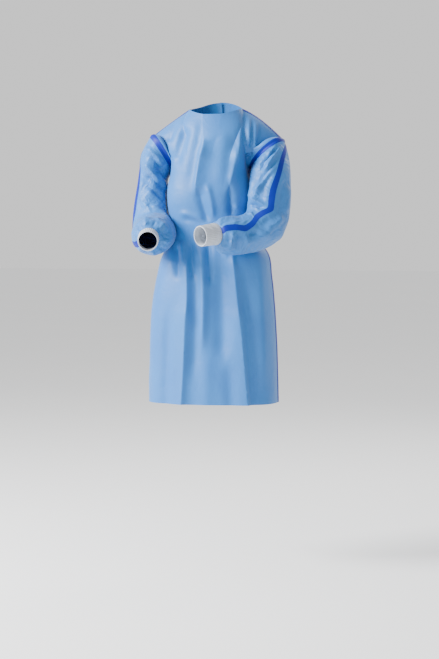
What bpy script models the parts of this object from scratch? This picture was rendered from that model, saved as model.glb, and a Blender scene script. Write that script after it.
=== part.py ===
"""An isolation gown, worn: hollow, its waist drawn in, its left forearm held across the front.

The origin is the middle of the neck opening, +Z is up, the front looks along -Y and the
wearer's left side is +X. Every length is in metres.
"""

from math import cos, pi, radians, sin

import bpy
import numpy as np

NAME = "isolation_gown"

# Cloth, tape and the air between two pieces
WALL = 0.0015
TAPE_WALL = 0.0011
CUFF_WALL = 0.0020
GAP = 0.0003
TAPE_REACH = 0.010

# The arms' rows are measured across a line of sight that stands this far round from the front
SIGHT = radians(12)

# Neck opening: an oval, higher behind than in front
NECK_HALF_WIDTH = 0.085
NECK_HALF_DEPTH = 0.075
NECK_SIDE_Z = 0.003
NECK_FRONT_DROP = 0.021
NECK_BACK_RISE = 0.025

# Open back: the left panel laps over the right one
LAP_AT_NECK = 0.030
LAP_AT_HEM = 0.065
LAP_TUCK = 0.0045
LAP_MARGIN = 0.006
LAP_BLEND = 0.042

# Cells of the grids: round half an armhole, along a shoulder, along half the neck, on the lap
RING_CELLS = 9
SHOULDER_CELLS = 5
NECK_CELLS = 6
LAP_CELLS = 2
YOKE_CELLS = 8

# Where the armhole's top and the neck's side come down, as shares of the way from side to centre
RING_SHARE = 0.36
NECK_SHARE = 0.68

# Armholes, across the line of sight: middle, and the two half axes to the top and to the front
ARMHOLES = {
    "left": {
        "middle": (0.165, -0.025, -0.142),
        "top": (0.053, -0.008, 0.042),
        "front": (-0.003, -0.073, 0.024),
    },
    "right": {
        "middle": (-0.172, 0.047, -0.134),
        "top": (-0.034, 0.008, 0.050),
        "front": (-0.010, -0.073, 0.024),
    },
}

# Shoulder seams bow up over this point
SHOULDER_BOW = {"left": (0.140, 0.012, -0.018), "right": (-0.150, 0.012, -0.037)}

# The way the cloth leaves its top edge: out from the centre, forward, up
LEAVING = {
    "armpit": (-0.72, 0.00, -0.70),
    "armhole": (-0.90, 0.40, 0.02),
    "armhole_top": (-0.55, 0.80, 0.16),
    "shoulder": (0.00, 0.97, -0.25),
    "neck_side": (0.35, 0.75, -0.55),
    "neck_centre": (0.00, 0.35, -0.95),
}

# Body sections from chest to hem: height, half sizes to each side, and the cells down to the next
SECTION_COLUMNS = ("z", "right", "left", "front", "back", "cells")
SECTIONS = [
    (-0.204, 0.141, 0.106, 0.108, 0.106, 1),
    (-0.225, 0.150, 0.118, 0.113, 0.111, 2),
    (-0.270, 0.155, 0.128, 0.117, 0.109, 2),
    (-0.330, 0.149, 0.129, 0.111, 0.103, 2),
    (-0.3875, 0.142, 0.134, 0.105, 0.098, 1),
    (-0.4125, 0.144, 0.138, 0.106, 0.098, 1),
    (-0.450, 0.166, 0.166, 0.120, 0.114, 2),
    (-0.530, 0.188, 0.181, 0.131, 0.126, 2),
    (-0.620, 0.204, 0.190, 0.137, 0.131, 3),
    (-0.750, 0.211, 0.198, 0.141, 0.135, 5),
    (-0.929, 0.215, 0.203, 0.145, 0.140, 0),
]
SQUARENESS = {"front": 2.7, "back": 2.2}

# Sleeve rings below the armhole, across the line of sight: the inner and the outer edge,
# half the depth between them, the seam's turn from the outer edge towards the front in
# degrees, and the cells from the ring before
RING_COLUMNS = ("inner", "outer", "depth", "seam", "cells")
SLEEVES = {
    "left": [
        ((0.107, -0.070, -0.215), (0.232, -0.042, -0.160), 0.074, 44, 3),
        ((0.104, -0.086, -0.238), (0.2355, -0.058, -0.212), 0.070, 74, 2),
        ((0.101, -0.094, -0.268), (0.235, -0.078, -0.282), 0.066, 89, 2),
        ((0.100, -0.112, -0.293), (0.228, -0.098, -0.347), 0.063, 97, 2),
        ((0.0995, -0.120, -0.303), (0.218, -0.109, -0.377), 0.062, 98, 1),
        ((0.099, -0.126, -0.311), (0.206, -0.120, -0.404), 0.061, 112, 1),
        ((0.094, -0.134, -0.324), (0.165, -0.138, -0.434), 0.059, 121, 2),
        ((0.080, -0.148, -0.333), (0.117, -0.155, -0.450), 0.057, 113, 2),
        ((0.062, -0.160, -0.337), (0.083, -0.170, -0.455), 0.055, 105, 1),
        ((0.036, -0.173, -0.337), (0.050, -0.184, -0.457), 0.053, 110, 2),
        ((0.010, -0.185, -0.343), (0.026, -0.194, -0.452), 0.047, 110, 1),
        ((-0.002, -0.190, -0.351), (0.013, -0.199, -0.441), 0.040, 102, 1),
        ((-0.0095, -0.194, -0.359), (0.007, -0.203, -0.424), 0.033, 97, 1),
    ],
    "right": [
        ((-0.156, 0.043, -0.222), (-0.238, 0.056, -0.138), 0.071, 8, 3),
        ((-0.152, 0.050, -0.245), (-0.245, 0.057, -0.182), 0.067, 22, 2),
        ((-0.149, 0.043, -0.270), (-0.253, 0.062, -0.238), 0.064, 35, 2),
        ((-0.143, 0.029, -0.302), (-0.261, 0.065, -0.300), 0.062, 41, 2),
        ((-0.134, 0.010, -0.334), (-0.265, 0.052, -0.350), 0.061, 39, 2),
        ((-0.129, -0.012, -0.361), (-0.266, 0.022, -0.378), 0.060, 22, 1),
        ((-0.127, -0.038, -0.377), (-0.266, -0.010, -0.389), 0.060, 3, 1),
        ((-0.126, -0.072, -0.388), (-0.266, -0.055, -0.394), 0.061, -14, 2),
        ((-0.127, -0.101, -0.396), (-0.266, -0.100, -0.396), 0.061, -25, 2),
        ((-0.135, -0.140, -0.400), (-0.263, -0.140, -0.400), 0.059, -25, 2),
        ((-0.150, -0.166, -0.403), (-0.254, -0.166, -0.404), 0.050, -25, 1),
        ((-0.166, -0.178, -0.404), (-0.246, -0.178, -0.405), 0.040, -25, 1),
        ((-0.176, -0.186, -0.405), (-0.242, -0.186, -0.406), 0.033, -25, 1),
    ],
}

# Air between a sleeve and the body, and how fast it opens below the armhole
SLEEVE_ROOM = 0.0065
SLEEVE_OPENING = 0.45

# How far the body's cloth turns back from the sleeve's where it leaves the armhole
SEAM_SPREAD = 0.8

# How strongly the cloth follows its first direction, and the least slant of that direction
YOKE_PULL = 1.1
YOKE_SLANT = 0.6

# Cuffs
CUFF_LENGTH = 0.062
CUFF_TAPER = 0.93

# Folds: from x, z to x, z as seen along the line of sight, half width, and height (a trough's
# is negative). Front and back name the side that they lie on.
FOLD_COLUMNS = ("x0", "z0", "x1", "z1", "half_width", "height")
FRONT_FOLDS = [
    (-0.024, -0.020, -0.058, -0.215, 0.016, 0.007),
    (-0.056, -0.245, -0.022, -0.360, 0.014, -0.007),
    (-0.087, -0.050, -0.133, -0.185, 0.020, -0.009),
    (0.083, -0.035, 0.035, -0.250, 0.017, 0.008),
    (0.036, -0.215, 0.050, -0.350, 0.013, -0.010),
    (0.091, -0.010, 0.092, -0.125, 0.013, -0.011),
    (0.092, -0.100, 0.120, -0.200, 0.013, -0.011),
    (-0.125, -0.032, -0.153, -0.100, 0.013, -0.008),
    (-0.131, -0.415, -0.119, -0.560, 0.014, -0.009),
    (-0.080, -0.420, -0.075, -0.560, 0.013, -0.008),
    (-0.092, -0.450, -0.098, -0.730, 0.018, 0.011),
    (-0.097, -0.660, -0.117, -1.050, 0.020, 0.012),
    (-0.045, -0.470, -0.047, -0.770, 0.017, 0.008),
    (-0.029, -0.415, -0.020, -0.560, 0.012, -0.008),
    (0.008, -0.430, 0.017, -0.790, 0.030, -0.012),
    (0.050, -0.440, 0.077, -0.680, 0.017, 0.011),
    (0.074, -0.620, 0.108, -1.050, 0.018, 0.013),
    (0.100, -0.560, 0.140, -1.050, 0.020, -0.008),
    (-0.150, -0.640, -0.168, -1.050, 0.020, -0.007),
]
BACK_FOLDS = [
    (-0.060, -0.080, -0.085, -0.360, 0.020, -0.008),
    (0.065, -0.060, 0.080, -0.340, 0.018, -0.009),
    (-0.118, -0.090, -0.100, -0.300, 0.016, 0.008),
    (0.030, -0.150, 0.034, -0.370, 0.017, 0.007),
    (-0.100, -0.430, -0.128, -1.050, 0.020, 0.012),
    (-0.072, -0.425, -0.080, -0.700, 0.016, -0.010),
    (0.045, -0.430, 0.060, -1.050, 0.020, 0.011),
    (0.090, -0.425, 0.100, -0.760, 0.017, -0.010),
    (0.125, -0.440, 0.145, -1.050, 0.018, 0.009),
    (-0.020, -0.560, -0.030, -1.050, 0.020, -0.009),
]
SLEEVE_FOLDS = {
    "left": [
        (0.219, -0.125, 0.150, -0.215, 0.012, 0.007),
        (0.205, -0.125, 0.135, -0.190, 0.010, -0.008),
        (0.224, -0.155, 0.125, -0.255, 0.012, -0.008),
        (0.140, -0.250, 0.105, -0.310, 0.010, 0.006),
        (0.070, -0.345, 0.095, -0.445, 0.012, 0.005),
        (0.045, -0.370, 0.150, -0.395, 0.013, -0.006),
    ],
    "right": [
        (-0.230, -0.125, -0.160, -0.190, 0.012, 0.007),
        (-0.205, -0.125, -0.165, -0.220, 0.012, -0.009),
        (-0.235, -0.230, -0.145, -0.330, 0.013, -0.009),
        (-0.225, -0.200, -0.150, -0.290, 0.012, 0.007),
        (-0.215, -0.330, -0.150, -0.380, 0.012, 0.006),
    ],
}

# Back closure: the ties' upper edge, their wall, how far strips and tails stop short of an edge,
# and how far the tails start below the ties
WAIST_Z = -0.3875
TIE_WALL = 0.0010
TIE_END = 0.006
STRIP_END = 0.004
TAIL_START = 0.0065
NECK_TAB_ROWS = (1, 3)
TAIL_LENGTH_CELLS = 5
KNOT_WIDTH = 0.030
KNOT_HEIGHT = 0.036
KNOT_DEPTH = 0.011
KNOT_ROUNDING = 0.0045
KNOT_LIFT = 0.0006

COLOURS = {
    "cloth": ((104, 158, 210), 0.45),
    "tape": ((40, 78, 185), 0.40),
    "cuff": ((226, 233, 240), 0.85),
    "tab": ((120, 168, 214), 0.60),
}


def linear(channel):
    """One sRGB channel of 0 to 255 as the linear value that a shader takes."""
    share = channel / 255
    return share / 12.92 if share <= 0.04045 else ((share + 0.055) / 1.055) ** 2.4


def material(name):
    """A Principled material from the table of colours."""
    colour, roughness = COLOURS[name]
    made = bpy.data.materials.new(f"{NAME}_{name}")
    made.use_nodes = True
    shader = made.node_tree.nodes["Principled BSDF"]
    shader.inputs["Base Color"].default_value = (*[linear(c) for c in colour], 1.0)
    shader.inputs["Roughness"].default_value = roughness
    shader.inputs["Metallic"].default_value = 0.0
    return made


def unit(vectors):
    """Vectors made one long."""
    return vectors / np.maximum(np.linalg.norm(vectors, axis=-1, keepdims=True), 1e-9)


def from_sight(points):
    """Points measured across the line of sight, turned into the gown's own frame."""
    points = np.asarray(points, float)
    x, y, z = points[..., 0], points[..., 1], points[..., 2]
    return np.stack([x * cos(SIGHT) - y * sin(SIGHT), x * sin(SIGHT) + y * cos(SIGHT), z], axis=-1)


def to_sight(points):
    """Points of the gown's own frame, as seen across the line of sight."""
    x, y, z = points[..., 0], points[..., 1], points[..., 2]
    return np.stack([x * cos(SIGHT) + y * sin(SIGHT), y * cos(SIGHT) - x * sin(SIGHT), z], axis=-1)


def run(line):
    """How far along a line each of its points lies."""
    return np.concatenate([[0.0], np.cumsum(np.linalg.norm(np.diff(line, axis=0), axis=1))])


def along(line, distances):
    """The points at those distances along a line."""
    length = run(line)
    return np.stack([np.interp(distances, length, line[:, axis]) for axis in range(line.shape[1])], axis=1)


def ease(value, low, high):
    """0 below low and 1 above high, with a soft passage between."""
    share = np.clip((value - low) / (high - low), 0.0, 1.0)
    return share * share * (3 - 2 * share)


def through(knots, values, at):
    """A smooth curve through a table's values, read at other places."""
    knots, values, at = np.asarray(knots, float), np.asarray(values, float), np.asarray(at, float)
    slopes = np.gradient(values, knots, axis=0)
    cell = np.clip(np.searchsorted(knots, at, side="right") - 1, 0, len(knots) - 2)
    width = (knots[cell + 1] - knots[cell])[:, None]
    t = (at[:, None] - knots[cell][:, None]) / width
    start = (2 * t**3 - 3 * t**2 + 1) * values[cell] + (t**3 - 2 * t**2 + t) * width * slopes[cell]
    end = (3 * t**2 - 2 * t**3) * values[cell + 1] + (t**3 - t**2) * width * slopes[cell + 1]
    return start + end


def lap(z):
    """How far past the centre the back panels reach at a height."""
    chest, hem = SECTIONS[0][0], SECTIONS[-1][0]
    return LAP_AT_NECK + (LAP_AT_HEM - LAP_AT_NECK) * np.clip((z - chest) / (hem - chest), 0, 1)


def steps(start, first, end, cells):
    """Places from start to end in that many cells, of which the first has its own width."""
    return np.concatenate([[start], np.linspace(start + first, end, cells)])


def armhole(side, turns):
    """Points of an armhole, where a turn of 0 is its top, a quarter is its front and a half its pit."""
    ring = {key: from_sight(value) for key, value in ARMHOLES[side].items()}
    turns = np.asarray(turns, float)[:, None] * 2 * pi
    return ring["middle"] + ring["top"] * np.cos(turns) + ring["front"] * np.sin(turns)


def armhole_axis(side):
    """The way through an armhole, from the body into the sleeve."""
    ring = {key: from_sight(value) for key, value in ARMHOLES[side].items()}
    return unit(np.cross(ring["top"], ring["front"])) * (1 if side == "left" else -1)


def half_armhole(side, face):
    """The armhole's points on one face, from its pit to its top, a tape's reach in from each end."""
    way = 1 if face == "front" else -1
    line = armhole(side, np.linspace(0.5 * way, 0, 91))
    length = run(line)[-1]
    inner = np.linspace(TAPE_REACH, length - TAPE_REACH, RING_CELLS - 1)
    return along(line, np.concatenate([[0.0], inner, [length]]))


def shoulder(side):
    """The shoulder seam from the armhole's top to the neck."""
    outward = 1 if side == "left" else -1
    top, bow = armhole(side, [0.0])[0], np.array(SHOULDER_BOW[side])
    neck = np.array([outward * NECK_HALF_WIDTH, 0.0, NECK_SIDE_Z])
    t = np.linspace(0, 1, SHOULDER_CELLS + 1)[:, None]
    return (1 - t) ** 2 * top + 2 * t * (1 - t) * bow + t**2 * neck


def neck(side, face, past):
    """The neck's edge from the shoulder seam to the centre, and on by a distance past it."""
    outward = 1 if side == "left" else -1
    forward = -1 if face == "front" else 1
    rise = -NECK_FRONT_DROP if face == "front" else NECK_BACK_RISE
    turn = np.linspace(0, pi * 0.8, 161)
    line = np.stack(
        [
            outward * NECK_HALF_WIDTH * np.cos(turn),
            forward * NECK_HALF_DEPTH * np.sin(turn),
            NECK_SIDE_Z + rise * np.sin(turn) ** 2,
        ],
        axis=1,
    )
    half = run(line)[80]
    distances = np.linspace(0, half, NECK_CELLS + 1)[1:]
    if past:
        distances = np.concatenate([distances, half + past * np.linspace(0, 1, LAP_CELLS + 1)[1:]])
    return along(line, distances)


def section(side, face, row):
    """One body section from a side seam past the centre, as places of the half panel's columns."""
    sizes = dict(zip(SECTION_COLUMNS, row))
    outward = 1 if side == "left" else -1
    forward = -1 if face == "front" else 1
    turn = np.linspace(0, pi * 0.8, 241)
    width = np.where(turn < pi / 2, sizes[side], sizes["right" if side == "left" else "left"])
    power = 2 / SQUARENESS[face]
    x = outward * width * np.sign(np.cos(turn)) * np.abs(np.cos(turn)) ** power
    y = forward * sizes[face] * np.sin(turn) ** power
    line = np.stack([x, y, np.full_like(x, sizes["z"])], axis=1)
    half = run(line)[150]
    ring = steps(0, TAPE_REACH, RING_SHARE * half, RING_CELLS)
    over = np.linspace(RING_SHARE, NECK_SHARE, SHOULDER_CELLS + 1)[1:] * half
    middle = np.linspace(NECK_SHARE, 1, NECK_CELLS + 1)[1:] * half
    distances = np.concatenate([ring, over, middle])
    if face == "back":
        over = lap(sizes["z"]) * np.linspace(0, 1, LAP_CELLS + 1)[1:]
        distances = np.concatenate([distances, half + over])
    return along(line, distances)


def leaving(side, face, columns):
    """The direction in which each column leaves the top edge."""
    outward = 1 if side == "left" else -1
    forward = -1 if face == "front" else 1
    at = [0, RING_CELLS * 0.5, RING_CELLS, RING_CELLS + SHOULDER_CELLS * 0.5, RING_CELLS + SHOULDER_CELLS]
    at.append(RING_CELLS + SHOULDER_CELLS + NECK_CELLS)
    values = np.array(list(LEAVING.values())) * (outward, forward, 1)
    where = np.minimum(np.arange(columns), at[-1])
    way = unit(np.stack([np.interp(where, at, values[:, axis]) for axis in range(3)], axis=1))
    apart = (SEAM_SPREAD * (1 - ease(where, RING_CELLS - 2, RING_CELLS + 1)))[:, None]
    return unit(way - apart * armhole_axis(side))


def half_panel(side, face):
    """Half the front, or one back panel: rows from the top edge to the hem, columns from the side seam."""
    past = 0 if face == "front" else LAP_AT_NECK
    top = np.concatenate([half_armhole(side, face), shoulder(side)[1:], neck(side, face, past)])
    levels = np.array([section(side, face, row) for row in SECTIONS])
    heights = -levels[:, 0, 2]
    rows = [[heights[0]]]
    for cells, upper, lower in zip([row[-1] for row in SECTIONS], heights, heights[1:]):
        rows.append(np.linspace(upper, lower, cells + 1)[1:])
    lower = through(heights, levels.reshape(len(levels), -1), np.concatenate(rows)).reshape(-1, len(top), 3)
    chest, way = lower[0], leaving(side, face, len(top))
    reach = np.linalg.norm(chest - top, axis=1)[:, None]
    t = np.linspace(0, 1, 61)[:, None, None]
    yoke = (2 * t**3 - 3 * t**2 + 1) * top + (t**3 - 2 * t**2 + t) * reach * way * YOKE_PULL
    yoke = yoke + (3 * t**2 - 2 * t**3) * chest + (t**3 - t**2) * reach * np.array([0, 0, -1.0])
    edge = unit(np.gradient(top, axis=0))
    lean = np.linalg.norm(np.cross(way, edge), axis=1)
    grid = np.empty((YOKE_CELLS + len(lower), len(top), 3))
    for column in range(len(top)):
        line = yoke[:, column]
        first = TAPE_REACH / max(lean[column], YOKE_SLANT)
        grid[: YOKE_CELLS + 1, column] = along(line, steps(0, first, run(line)[-1], YOKE_CELLS))
    grid[YOKE_CELLS:] = lower
    return grid


def outward_normals(grid):
    """Normals of a grid whose rows go down and whose columns go round to the left of the front."""
    return unit(np.cross(np.gradient(grid, axis=0), np.gradient(grid, axis=1)))


def fold_height(points, folds):
    """How far the folds lift or sink each point, from where it is seen."""
    seen = to_sight(points)
    x, z = seen[..., 0], seen[..., 2]
    height = np.zeros(x.shape)
    for row in folds:
        fold = dict(zip(FOLD_COLUMNS, row))
        width, drop = fold["x1"] - fold["x0"], fold["z1"] - fold["z0"]
        length = np.hypot(width, drop)
        aside, above = x - fold["x0"], z - fold["z0"]
        share = (aside * width + above * drop) / length**2
        across = (aside * drop - above * width) / length
        ends = ease(share, -0.02, 0.25) * ease(1 - share, -0.02, 0.25)
        height += fold["height"] * ends * np.exp(-((across / fold["half_width"]) ** 2))
    return height


def folded(grid, folds, still):
    """A grid moved along its normals by its folds, but for the share that stays still."""
    return grid + outward_normals(grid) * (fold_height(grid, folds) * (1 - still))[..., None]


def body_still(rows, columns, both_sides, lap):
    """The share of each point of a body grid that folds leave alone: taped edges and the lap."""
    row, column = np.arange(rows)[:, None], np.arange(columns)[None, :]
    taped = RING_CELLS + SHOULDER_CELLS
    still = 1 - ease(row - 1, 0, 3) * np.ones(columns)
    side = 1 - ease(column - 1, 0, 6) * np.ones((rows, 1))
    if both_sides:
        side = np.maximum(side, side[:, ::-1])
        still = np.where((column > taped + 1) & (column < columns - taped - 2), still * 0.6, still)
    if lap:
        near_lap = ease(column, columns - LAP_CELLS - 5, columns - LAP_CELLS - 2)
        side = np.maximum(side, near_lap * np.ones((rows, 1)))
    return np.maximum(still, side)


def tucked(grid, normals):
    """The right back panel's grid, tucked in under the left one near the centre."""
    centre = RING_CELLS + SHOULDER_CELLS + NECK_CELLS
    distance = np.linalg.norm(grid - grid[:, centre : centre + 1], axis=2)
    past = np.arange(grid.shape[1])[None, :] > centre
    covered = lap(grid[:, centre : centre + 1, 2]) + LAP_MARGIN
    under = np.where(past, 1.0, 1 - ease(distance, covered, covered + LAP_BLEND))
    return grid - normals * (LAP_TUCK * under)[..., None]


def clear_of_body(points, side, panels, room):
    """Sleeve points, moved out from the body where they come nearer than some room to it."""
    outward = 1 if side == "left" else -1
    columns = np.concatenate(panels, axis=1) * (outward, 1, 1)
    depths = np.maximum.accumulate(-columns[..., 2], axis=0)
    places = points * (outward, 1, 1)
    x, y = (
        np.array([np.interp(-places[:, 2], d, c) for d, c in zip(depths.T, columns[..., axis].T)])
        for axis in (0, 1)
    )
    present = -places[:, 2] > depths[0][:, None]
    turns, radii = np.arctan2(y, x), np.hypot(x, y)
    moved = points.copy()
    for index, (across, forward, _) in enumerate(places):
        here = present[:, index]
        if here.sum() < 2:
            continue
        order = np.argsort(turns[here, index])
        turn, radius = turns[here, index][order], radii[here, index][order]
        own_turn, own_radius = np.arctan2(forward, across), np.hypot(across, forward)
        if turn[0] < own_turn < turn[-1]:
            needed = np.interp(own_turn, turn, radius) + room
            moved[index, :2] *= max(needed / own_radius, 1.0)
    return moved


def sleeve(side, panels):
    """A sleeve's grid: rows from the armhole to the cuff, columns from its seam round to its seam."""
    hole = {key: np.array(value) for key, value in ARMHOLES[side].items()}
    middle, top = hole["middle"], hole["top"]
    rings = [(middle - top, middle + top, np.linalg.norm(hole["front"]), 0, 0)]
    rings = [dict(zip(RING_COLUMNS, ring)) for ring in rings + SLEEVES[side]]
    inner, outer = (np.array([ring[key] for ring in rings]) for key in ("inner", "outer"))
    middle, across = (inner + outer) / 2, outer - inner
    down = unit(np.gradient(middle, axis=0))
    front = unit(np.cross(across, down)) * (-1 if side == "left" else 1)
    front[0] = unit(hole["front"])
    table = np.hstack([inner, outer, front, [[ring["depth"], radians(ring["seam"])] for ring in rings]])
    cells = [ring["cells"] for ring in rings[1:]]
    at = np.concatenate([[0.0]] + [np.linspace(k, k + 1, n + 1)[1:] for k, n in enumerate(cells)])
    first = TAPE_REACH / np.linalg.norm(middle[1] - middle[0])
    at = np.insert(at, 1, first) if first < at[1] * 0.7 else np.where(np.arange(len(at)) == 1, first, at)
    rows = through(np.arange(len(rings)), table, at)
    way = -1 if side == "left" else 1
    grid = []
    for index, row in enumerate(rows):
        inner, outer, front, depth, seam = row[:3], row[3:6], unit(row[6:9]), row[9], row[10]
        turn = seam + way * np.linspace(0, 2 * pi, 241)
        middle, half = (inner + outer) / 2, (outer - inner) / 2
        line = middle + half * np.cos(turn)[:, None] + front * depth * np.sin(turn)[:, None]
        line = from_sight(line)
        if index == 0:
            start = line.mean(axis=0)
        else:
            below = np.linalg.norm(line.mean(axis=0) - start)
            line = clear_of_body(line, side, panels, min(SLEEVE_ROOM, SLEEVE_OPENING * below))
        length = run(line)[-1]
        if index == 0:
            halves = [half_armhole(side, face)[::-1] for face in ("back", "front")]
            halves = halves if side == "left" else halves[::-1]
            grid.append(np.concatenate([halves[0], halves[1][::-1][1:]]))
            continue
        if index == 1:
            onward = unit(from_sight(table[1, :3] + table[1, 3:6] - table[0, :3] - table[0, 3:6]))
            grid.append(grid[0] + onward * TAPE_REACH)
            continue
        distances = np.linspace(TAPE_REACH, length - TAPE_REACH, 2 * RING_CELLS - 1)
        grid.append(along(line, np.concatenate([[0.0], distances, [length]])))
    return np.array(grid)


def sleeve_still(grid):
    """The share of each sleeve point that folds leave alone: both ends and the taped seam."""
    rows, columns = grid.shape[:2]
    row, column = np.arange(rows)[:, None], np.arange(columns)[None, :]
    near_seam = np.minimum(column, columns - 1 - column)
    ends = np.maximum(1 - ease(row - 1, 0, 2), ease(row, rows - 4, rows - 1))
    facing = ease(outward_normals(grid) @ from_sight((0, -1.0, 0)), -0.1, 0.4)
    return np.maximum(np.maximum(ends, 1 - ease(near_seam - 1, 0, 1)), 1 - facing)


def meeting(*normals):
    """One normal for walls that meet at a seam, longer where they meet at an angle."""
    mean = unit(sum(normals))
    lean = np.min([np.sum(mean * normal, axis=-1) for normal in normals], axis=0)
    return mean / np.clip(lean, 0.65, 1.0)[..., None]


def inset(grid, rows=(), columns=()):
    """A grid drawn in by half a gap at its sewn edges; each edge is its index and the next one in."""
    drawn = grid.copy()
    for edge, inner, part in rows:
        drawn[edge, part] += unit(grid[inner, part] - grid[edge, part]) * GAP / 2
    for edge, inner in columns:
        drawn[:, edge] += unit(grid[:, inner] - grid[:, edge]) * GAP / 2
    return drawn


def trimmed(grid, start=0.0, end=0.0, axis=0):
    """A strip's grid shortened at its first and last rows or columns."""
    lines = np.moveaxis(grid.copy(), axis, 0)
    lines[0] += unit(lines[1] - lines[0]) * start
    lines[-1] += unit(lines[-2] - lines[-1]) * end
    return np.moveaxis(lines, 0, axis)


def cloth(name, outer, normals, wall, finish, closed=False):
    """A wall of cloth, lofted from the outer points inwards along their normals."""
    rows, columns = outer.shape[:2]
    inner = outer - normals * wall
    vertices = np.concatenate([outer.reshape(-1, 3), inner.reshape(-1, 3)])
    below = rows * columns
    faces = []

    def corner(row, column):
        return row * columns + column % columns

    def rim(a, b):
        """Closes the wall's edge from a to b; seams that meet are split the same way."""
        if vertices[a].sum() < vertices[b].sum():
            return [(a, b, b + below), (a, b + below, a + below)]
        return [(a, b, a + below), (b, b + below, a + below)]

    spans = columns if closed else columns - 1
    for row in range(rows - 1):
        for column in range(spans):
            a, b = corner(row, column), corner(row + 1, column)
            c, d = corner(row + 1, column + 1), corner(row, column + 1)
            faces += [(a, b, c), (a, c, d)]
            faces += [(a + below, c + below, b + below), (a + below, d + below, c + below)]
    for column in range(spans):
        faces += rim(corner(0, column), corner(0, column + 1))
        faces += rim(corner(rows - 1, column + 1), corner(rows - 1, column))
    if not closed:
        for row in range(rows - 1):
            faces += rim(corner(row + 1, 0), corner(row, 0))
            faces += rim(corner(row, columns - 1), corner(row + 1, columns - 1))
    mesh = bpy.data.meshes.new(name)
    mesh.from_pydata(vertices.tolist(), [], faces)
    mesh.shade_smooth()
    mesh.set_sharp_from_angle(angle=radians(50))
    mesh.materials.append(finish)
    made = bpy.data.objects.new(name, mesh)
    bpy.data.collections[NAME].objects.link(made)
    return made


def tape(name, points, normals, finish, lift=GAP, wall=TAPE_WALL):
    """A strip that lies on a panel: the panel's points moved out, with its own wall."""
    return cloth(name, points + normals * (lift + wall), normals, wall, finish)


def cuff(side, ring, finish):
    """An elastic cuff: a tube on from the sleeve's last ring."""
    middle = ring[:-1].mean(axis=0)
    spokes = unit(ring[:-1] - middle)
    axis = unit(np.cross(ring[RING_CELLS // 2] - middle, ring[RING_CELLS] - middle))
    inward = from_sight((-1.0 if side == "left" else 0.1, -0.8, -0.2))
    axis = axis * np.sign(axis @ inward)
    share_down = np.linspace(0, 1, 4)[:, None, None]
    size = 1 - (1 - CUFF_TAPER) * share_down
    offset = GAP + CUFF_LENGTH * share_down
    grid = middle + (ring[:-1] - middle) * size + axis * offset
    normals = np.broadcast_to(spokes, grid.shape)
    return cloth(f"cuff_{side}", grid, normals, CUFF_WALL, finish, closed=True)


def knot(place, finish, facing):
    """The waist ties' knot: a rounded pad that stands on the left tie."""
    bpy.ops.mesh.primitive_cube_add(size=1.0)
    made = bpy.context.object
    made.name = "tie_knot"
    made.data.name = "tie_knot"
    for vertex in made.data.vertices:
        vertex.co = (vertex.co.x * KNOT_WIDTH, vertex.co.y * KNOT_DEPTH, vertex.co.z * KNOT_HEIGHT)
    bevel = made.modifiers.new("round", "BEVEL")
    bevel.width = KNOT_ROUNDING
    bevel.segments = 3
    made.location = place
    made.rotation_euler.z = facing
    made.data.materials.append(finish)
    for collection in made.users_collection:
        collection.objects.unlink(made)
    bpy.data.collections[NAME].objects.link(made)
    return made


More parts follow.
